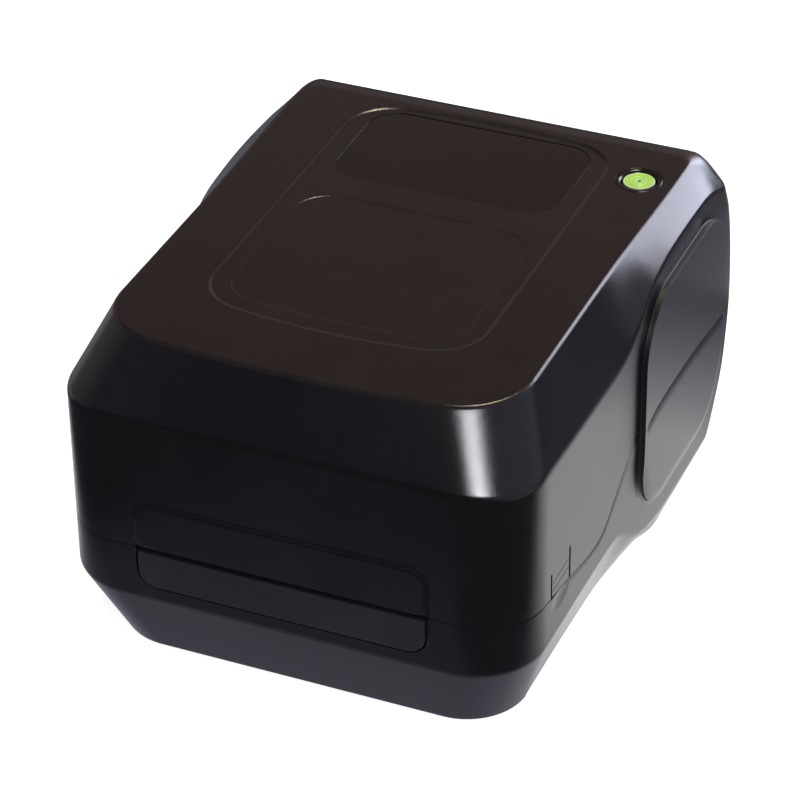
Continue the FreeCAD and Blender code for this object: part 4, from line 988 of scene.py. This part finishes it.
def key_green(name):
    """Translucent green key with turned rings, a dark pip in the middle and a grey rim."""
    m, nt, p = new_mat(name)
    co = nt.nodes.new("ShaderNodeTexCoord")
    mp = nt.nodes.new("ShaderNodeMapping")
    mp.vector_type = "POINT"
    mp.inputs["Location"].default_value = (-0.0821 / 0.0077, -0.0840 / 0.0077, 0)
    mp.inputs["Scale"].default_value = (1 / 0.0077, 1 / 0.0077, 0.0)
    nt.links.new(co.outputs["Object"], mp.inputs["Vector"])
    ln = nt.nodes.new("ShaderNodeVectorMath")
    ln.operation = "LENGTH"
    nt.links.new(mp.outputs["Vector"], ln.inputs[0])
    g, l, y = (0.33, 0.64, 0.085), (0.47, 0.74, 0.22), (0.42, 0.72, 0.10)
    col = tint(nt, ln.outputs["Value"], [(0.0, (0.015, 0.10, 0.05)), (0.085, (0.02, 0.14, 0.06)), (0.14, (0.36, 0.70, 0.24)), (0.27, l), (0.33, g),
                                         (0.45, l), (0.52, y), (0.63, g), (0.70, y), (0.80, g), (0.86, l), (0.91, (0.52, 0.72, 0.30)),
                                         (0.945, (0.40, 0.55, 0.24)), (0.965, (0.22, 0.22, 0.23)), (0.985, (0.05, 0.05, 0.055))], 0.75)
    nt.links.new(col, p.inputs["Base Color"])
    nt.links.new(col, p.inputs["Emission Color"])
    p.inputs["Emission Strength"].default_value = 0.15
    fine = tex_noise(nt, co, 1500, 2.0)
    nt.links.new(span(nt, fine.outputs["Fac"], 0.24, 0.34), p.inputs["Roughness"])
    p.inputs["Specular IOR Level"].default_value = 0.35
    return m


SHELL = (0.0036, 0.0032, 0.0036)
MAT = {
    "shell": moulded("shell_black", SHELL, 0.18, 0.50, 0.75, 2200, dr=0.015),
    "smoked_window": moulded("window_smoked", (0.0032, 0.0026, 0.0036), 0.10, 0.48, 0.02, 400, 0.1),
    "rim": moulded("rim_satin_black", SHELL, 0.46, 0.32, 0.5, 2200),
    "panel": moulded("panel_satin_black", (0.0098, 0.0092, 0.0108), 0.30, 0.50, 0.25, 1900),
    "button_green": key_green("key_green"),
    "bezel": moulded("ring_gloss_black", (0.003, 0.003, 0.0034), 0.09, 0.35, 0.02, 500),
    "rubber": moulded("foot_rubber", (0.018, 0.018, 0.019), 0.78, 0.25, 0.6, 1400, 0.25),
    "platen_rubber": moulded("roller_rubber", (0.022, 0.022, 0.024), 0.55, 0.3, 0.45, 2200, 0.2),
    "steel": metal("steel_turned", (0.55, 0.55, 0.57), 0.30, (0.15, 1, 1)),
    "zinc_sheet": metal("sheet_zinc", (0.60, 0.61, 0.63), 0.40, (1, 0.1, 1), 300),
    "aluminium": metal("aluminium_milled", (0.74, 0.75, 0.77), 0.36, (0.06, 1, 1), 500),
    "ceramic": moulded("ceramic_bar", (0.38, 0.30, 0.22), 0.16, 0.5, 0.05, 900, 0.08),
    "inner_plastic": moulded("frame_grey", (0.020, 0.020, 0.022), 0.48, 0.35, 0.45, 1700, 0.15),
    "holder_plastic": moulded("holder_grey", (0.085, 0.088, 0.095), 0.42, 0.4, 0.35, 1700, 0.1),
    "spindle_plastic": moulded("spindle_black", (0.014, 0.014, 0.015), 0.40, 0.4, 0.3, 1700, 0.15),
    "gear_plastic": moulded("gear_white", (0.70, 0.68, 0.62), 0.38, 0.45, 0.1, 900, 0.06),
    "brass_part": metal("brass_turned", (0.74, 0.54, 0.25), 0.30, (0.2, 1, 1)),
    "motor_black": moulded("motor_paint", (0.012, 0.012, 0.013), 0.34, 0.5, 0.35, 900, 0.15),
    "motor_can": metal("can_nickel", (0.66, 0.65, 0.62), 0.28, (1, 1, 0.1), 260),
    "circuit_board": board("board_green"),
    "sensor_plastic": moulded("sensor_black", (0.010, 0.010, 0.011), 0.36, 0.4, 0.3, 1500),
    "port_metal": metal("shield_nickel", (0.50, 0.50, 0.49), 0.36, (1, 0.1, 1), 1100, bump=0.03),
    "gilt": metal("contact_gilt", (0.78, 0.55, 0.22), 0.25, (1, 0.2, 1), 900, bump=0.03),
    "port_plastic": moulded("socket_black", (0.012, 0.012, 0.013), 0.42, 0.4, 0.3, 1500),
    "rocker_plastic": moulded("rocker_black", (0.009, 0.009, 0.010), 0.24, 0.4, 0.08, 900),
}
SLOTS = {
    "shell": "base_shell rear_panel top_cover front_panel latch_left latch_right", "smoked_window": "window",
    "button_green": "feed_button", "bezel": "button_bezel", "rubber": "rubber_feet", "platen_rubber": "platen_sleeve",
    "steel": "platen_shaft hinge_pins head_pivot_shaft sensor_rod idler_stud tear_bar base_screws lid_screws head_springs",
    "zinc_sheet": "platen_bracket_left platen_bracket_right hinge_bracket_left hinge_bracket_right head_bracket ribbon_motor_mount spring_beam",
    "aluminium": "heat_sink", "ceramic": "thermal_head",
    "inner_plastic": "media_tray lid_inner_frame ribbon_frame_left ribbon_frame_right rack_guide latch_catches",
    "holder_plastic": "media_holder_left media_holder_right holder_hub_left holder_hub_right",
    "spindle_plastic": "supply_spindle takeup_spindle", "gear_plastic": "platen_gear idler_gear rack_pinion takeup_gear",
    "brass_part": "motor_pinion ribbon_pinion platen_bushings", "motor_black": "drive_motor", "motor_can": "ribbon_motor",
    "circuit_board": "main_board io_board power_board button_board", "sensor_plastic": "media_sensor",
    "port_metal": "usb_port network_port", "port_plastic": "power_inlet switch_body", "rocker_plastic": "power_rocker",
}


def assign(obj, mat):
    obj.data.materials.clear()
    obj.data.materials.append(mat)


for o, name in ((cover, "shell"), (base, "shell"), (rear, "shell"), (panel, "panel"), (latch_a, "shell"), (latch_b, "shell"),
                (key, "button_green"), (key_ring, "bezel"), (window, "smoked_window"), (feet, "rubber"), (coils, "steel"),
                (usb, "port_metal"), (net, "port_metal"), (jack, "port_plastic")):
    assign(o, MAT[name])
for name, members in SLOTS.items():
    for node in members.split():
        mats = NODES[node].data.materials
        if len(mats):
            for i in range(len(mats)):
                mats[i] = MAT[name]
        else:
            mats.append(MAT[name])
# inside the sockets: black carriers, gilt contacts, steel pin
for o, (x0, x1, z0, z1), y0, pins in ((usb, (-84.4, -75.6, 34.7, 42.8), 123.9, [(x - 0.55, x + 0.55, z - 0.13, z + 0.13) for x, z in USB_PINS]),
                                      (net, (-86.3, -74.3, 50.8, 61.1), 123.5, [(x - 0.25, x + 0.25, 54.0, 61.3) for x in NET_PINS])):
    o.data.materials.append(MAT["port_plastic"])
    o.data.materials.append(MAT["gilt"])
    for f in o.data.polygons:
        x, y, z = f.center / MM
        if x0 < x < x1 and z0 < z < z1 and y > y0 and y < max(v.co.y for v in o.data.vertices) / MM - 0.01:
            gilt = any(a < x < b and c < z < d for a, b, c, d in pins) and not (o is net and (z > 60.99 or y < 124.05))
            f.material_index = 2 if gilt else 1
jack.data.materials.append(MAT["steel"])
for f in jack.data.polygons:
    if f.center.y / MM > 124.05 and all(math.hypot(jack.data.vertices[i].co.x / MM - 80.0, jack.data.vertices[i].co.z / MM - 38.0) < 1.05 for i in f.vertices):
        f.material_index = 1
# the upright riser round each cheek is left satin
for o in (cover, base):
    o.data.materials.append(MAT["rim"])
    mid, nor = np.empty(len(o.data.polygons) * 3), np.empty(len(o.data.polygons) * 3)
    o.data.polygons.foreach_get("center", mid)
    o.data.polygons.foreach_get("normal", nor)
    mid, nor = mid.reshape(-1, 3) / MM, nor.reshape(-1, 3)
    deep_in = rim_distance(mid[:, 1:], CHEEK_C, CHEEK_H, CHEEK_R)
    riser = (np.abs(mid[:, 0]) > HW - 1.7) & (np.abs(nor[:, 0]) < 0.965) & (deep_in > 2.95) & (deep_in < 3.72)
    o.data.polygons.foreach_set("material_index", riser.astype(np.int32))


# ------------------------------------------------------------------ camera, floor, light
cam_data = bpy.data.cameras.new("camera")
cam = bpy.data.objects.new("camera", cam_data)
scene.collection.objects.link(cam)
cam_data.sensor_width, cam_data.lens = 36.0, 157.597
cam_data.clip_end = 20.0
R2 = (0.92089946, 0.38961454, -0.01202861)
D2 = (0.20836854, -0.51811391, -0.82954236)
FW = (-0.32943396, 0.76141873, -0.55831424)
cam.matrix_world = Matrix(((R2[0], -D2[0], -FW[0], 0.5335251), (R2[1], -D2[1], -FW[1], -1.2405992),
                           (R2[2], -D2[2], -FW[2], 0.9855403), (0, 0, 0, 1)))
scene.camera = cam


def sheet(name, x0, x1, y0, y1, z):
    me = bpy.data.meshes.new(name)
    me.from_pydata([(x0, y0, z), (x1, y0, z), (x1, y1, z), (x0, y1, z)], [], [(0, 1, 2, 3)])
    o = bpy.data.objects.new(name, me)
    scene.collection.objects.link(o)
    return o


floor = sheet("floor", -6, 6, -6, 6, 0.0)
fmat, fnt, fp = new_mat("floor_pale")
fp.inputs["Base Color"].default_value = (0.45, 0.45, 0.45, 1)
fp.inputs["Roughness"].default_value = 0.9
fp.inputs["Specular IOR Level"].default_value = 0.1
fp.inputs["Emission Color"].default_value = (1.0, 1.0, 1.0, 1)
fp.inputs["Emission Strength"].default_value = 0.86
assign(floor, fmat)
floor.visible_glossy = False

# glowing sheet seen only in the gloss of the housing: a painted reflection of the floor, bright under the printer and
# darker all round
card = sheet("card", -4, 4, -4, 4, 0.0004)
gmat, gnt, gp = new_mat("card_painted_reflection")
co = gnt.nodes.new("ShaderNodeTexCoord")
xyz = gnt.nodes.new("ShaderNodeSeparateXYZ")
gnt.links.new(co.outputs["Object"], xyz.inputs["Vector"])
# painted reflection brightness along y: full under the printer, falling off towards the front and the rear
along = tint(gnt, span(gnt, xyz.outputs["Y"], 0.0, 1.0, -0.7, 0.8),
             [((y + 0.7) / 1.5, [c * v for c in t]) for y, v, t in (
                 (-0.70, 0.04, (1.0, 0.95, 1.3)), (-0.45, 0.05, (1.0, 0.95, 1.3)), (-0.32, 0.075, (1.0, 0.95, 1.3)), (-0.27, 0.12, (1.0, 0.92, 1.3)),
                 (-0.24, 0.17, (1.0, 0.82, 1.35)), (-0.205, 0.19, (1.0, 0.9, 1.3)), (-0.15, 0.27, (1.0, 0.98, 1.25)), (-0.12, 0.33, (1.0, 0.98, 1.25)),
                 (-0.095, 0.46, (1.0, 1.0, 1.12)), (-0.075, 0.66, (1.0, 1.0, 1.06)), (-0.045, 0.88, (1.0, 1.0, 1.0)), (-0.015, 1.02, (1.0, 1.0, 1.0)),
                 (0.125, 1.0, (1.0, 1.0, 1.02)), (0.16, 0.66, (1.0, 0.99, 1.08)), (0.20, 0.37, (1.0, 0.98, 1.1)), (0.245, 0.19, (1.0, 0.97, 1.2)),
                 (0.40, 0.16, (1.0, 0.97, 1.25)), (0.80, 0.05, (1.0, 0.97, 1.3)))])


def lean(nt, src, axis):
    """Distance along a level direction."""
    n = nt.nodes.new("ShaderNodeVectorMath")
    n.operation = "DOT_PRODUCT"
    n.inputs[1].default_value = axis
    nt.links.new(src, n.inputs[0])
    return n.outputs["Value"]


right = span(gnt, lean(gnt, co.outputs["Object"], (1.0, -0.81, 0.0)), 1.0, 0.0, 0.235, 0.28)
left = span(gnt, lean(gnt, co.outputs["Object"], (-1.0, -0.5, 0.0)), 1.0, 0.0, 0.225, 0.27)
both = gnt.nodes.new("ShaderNodeMath")
both.operation = "MULTIPLY"
gnt.links.new(right, both.inputs[0])
gnt.links.new(left, both.inputs[1])
fade = gnt.nodes.new("ShaderNodeMix")
fade.data_type = "RGBA"
gnt.links.new(both.outputs[0], fade.inputs[0])
fade.inputs[6].default_value = (0.05, 0.047, 0.065, 1)
gnt.links.new(along, fade.inputs[7])
gp.inputs["Base Color"].default_value = (0.0, 0.0, 0.0, 1)
gp.inputs["Specular IOR Level"].default_value = 0.0
gnt.links.new(fade.outputs[2], gp.inputs["Emission Color"])
gp.inputs["Emission Strength"].default_value = 1.0
assign(card, gmat)
card.visible_camera = card.visible_diffuse = card.visible_shadow = card.visible_transmission = card.visible_volume_scatter = False

# paler boards further out, met only by the gloss of the sides and the rear
for name, box, level in (("board_rear", (-0.15, 0.15, 0.26, 0.95), 0.55), ("board_left", (-1.5, -0.44, -0.08, 0.6), 0.45), ("board_right", (0.40, 1.5, -0.4, 0.2), 0.45)):
    o = sheet(name, *box, 0.0008)
    bmat, bnt, bp = new_mat(name)
    bp.inputs["Base Color"].default_value = (0.0, 0.0, 0.0, 1)
    bp.inputs["Specular IOR Level"].default_value = 0.0
    bp.inputs["Emission Color"].default_value = (1.0, 0.99, 1.04, 1)
    bp.inputs["Emission Strength"].default_value = level
    assign(o, bmat)
    o.visible_camera = o.visible_diffuse = o.visible_shadow = o.visible_transmission = o.visible_volume_scatter = False

world = bpy.data.worlds.new("studio")
scene.world = world
world.use_nodes = True
bg = world.node_tree.nodes["Background"]
wnt = world.node_tree
wco = wnt.nodes.new("ShaderNodeTexCoord")
wxyz = wnt.nodes.new("ShaderNodeSeparateXYZ")
wnt.links.new(wco.outputs["Generated"], wxyz.inputs["Vector"])
rear_air = tint(wnt, wxyz.outputs["Z"], [(0.0, (0.15, 0.13, 0.16)), (0.2, (0.26, 0.21, 0.21)), (0.36, (0.42, 0.31, 0.28)), (0.44, (0.40, 0.29, 0.26)),
                                         (0.50, (0.29, 0.205, 0.18)), (0.522, (0.245, 0.17, 0.15)), (0.545, (0.16, 0.10, 0.09)), (0.62, (0.17, 0.115, 0.105)),
                                         (0.8, (0.24, 0.19, 0.17)), (1.0, (0.25, 0.20, 0.19))])
front_air = tint(wnt, wxyz.outputs["Z"], [(0.0, (0.04, 0.04, 0.055)), (0.2, (0.05, 0.05, 0.075)), (0.37, (0.08, 0.08, 0.12)), (0.6, (0.24, 0.22, 0.27)),
                                          (0.75, (0.30, 0.25, 0.28)), (1.0, (0.25, 0.20, 0.19))])


def blend(nt, fac, a, b, kind="MIX"):
    m = nt.nodes.new("ShaderNodeMix")
    m.data_type, m.blend_type = "RGBA", kind
    nt.links.new(fac, m.inputs[0])
    for socket, v in ((m.inputs[6], a), (m.inputs[7], b)):
        if isinstance(v, tuple):
            socket.default_value = (*v, 1)
        else:
            nt.links.new(v, socket)
    return m.outputs[2]


brighter = blend(wnt, span(wnt, wxyz.outputs["X"], 0.0, 1.0, -0.3, 0.15), rear_air, (1.9, 1.9, 1.9), "MULTIPLY")
streak = blend(wnt, span(wnt, wxyz.outputs["X"], 0.0, 1.0, -0.1, 0.1), brighter, (1.7, 1.7, 1.7), "MULTIPLY")
around = blend(wnt, span(wnt, wxyz.outputs["Y"], 0.0, 1.0, -0.3, 0.4), front_air, streak)
to_right = blend(wnt, span(wnt, wxyz.outputs["X"], 0.0, 1.0, 0.4, 0.85), around, (0.42, 0.42, 0.56))
wnt.links.new(blend(wnt, span(wnt, wxyz.outputs["X"], 1.0, 0.0, -1.0, -0.8), to_right, (0.30, 0.29, 0.33)), bg.inputs["Color"])
bg.inputs["Strength"].default_value = 1.0


def area(name, at, aim, size_x, size_y, watts, color=(1, 1, 1)):
    d = bpy.data.lights.new(name, "AREA")
    d.shape, d.size, d.size_y, d.energy, d.color = "RECTANGLE", size_x, size_y, watts, color
    o = bpy.data.objects.new(name, d)
    scene.collection.objects.link(o)
    o.location = at
    o.rotation_euler = (Vector(aim) - Vector(at)).to_track_quat("-Z", "Y").to_euler()
    return o


area("key_rear_right", (0.93, 1.99, 0.78), (0.1, 0.06, 0.15), 1.2, 1.36, 40, (0.76, 0.82, 1.0))
area("front_soft", (0.79, -1.255, 1.236), (0.084, -0.129, 0.153), 0.54, 0.35, 24, (0.95, 0.97, 1.0))
area("overhead", (0.05, 0.95, 2.45), (0, 0, 0.15), 0.5, 0.5, 27, (1.0, 0.88, 0.6))
scene.view_settings.view_transform = "Standard"
scene.view_settings.look = "None"
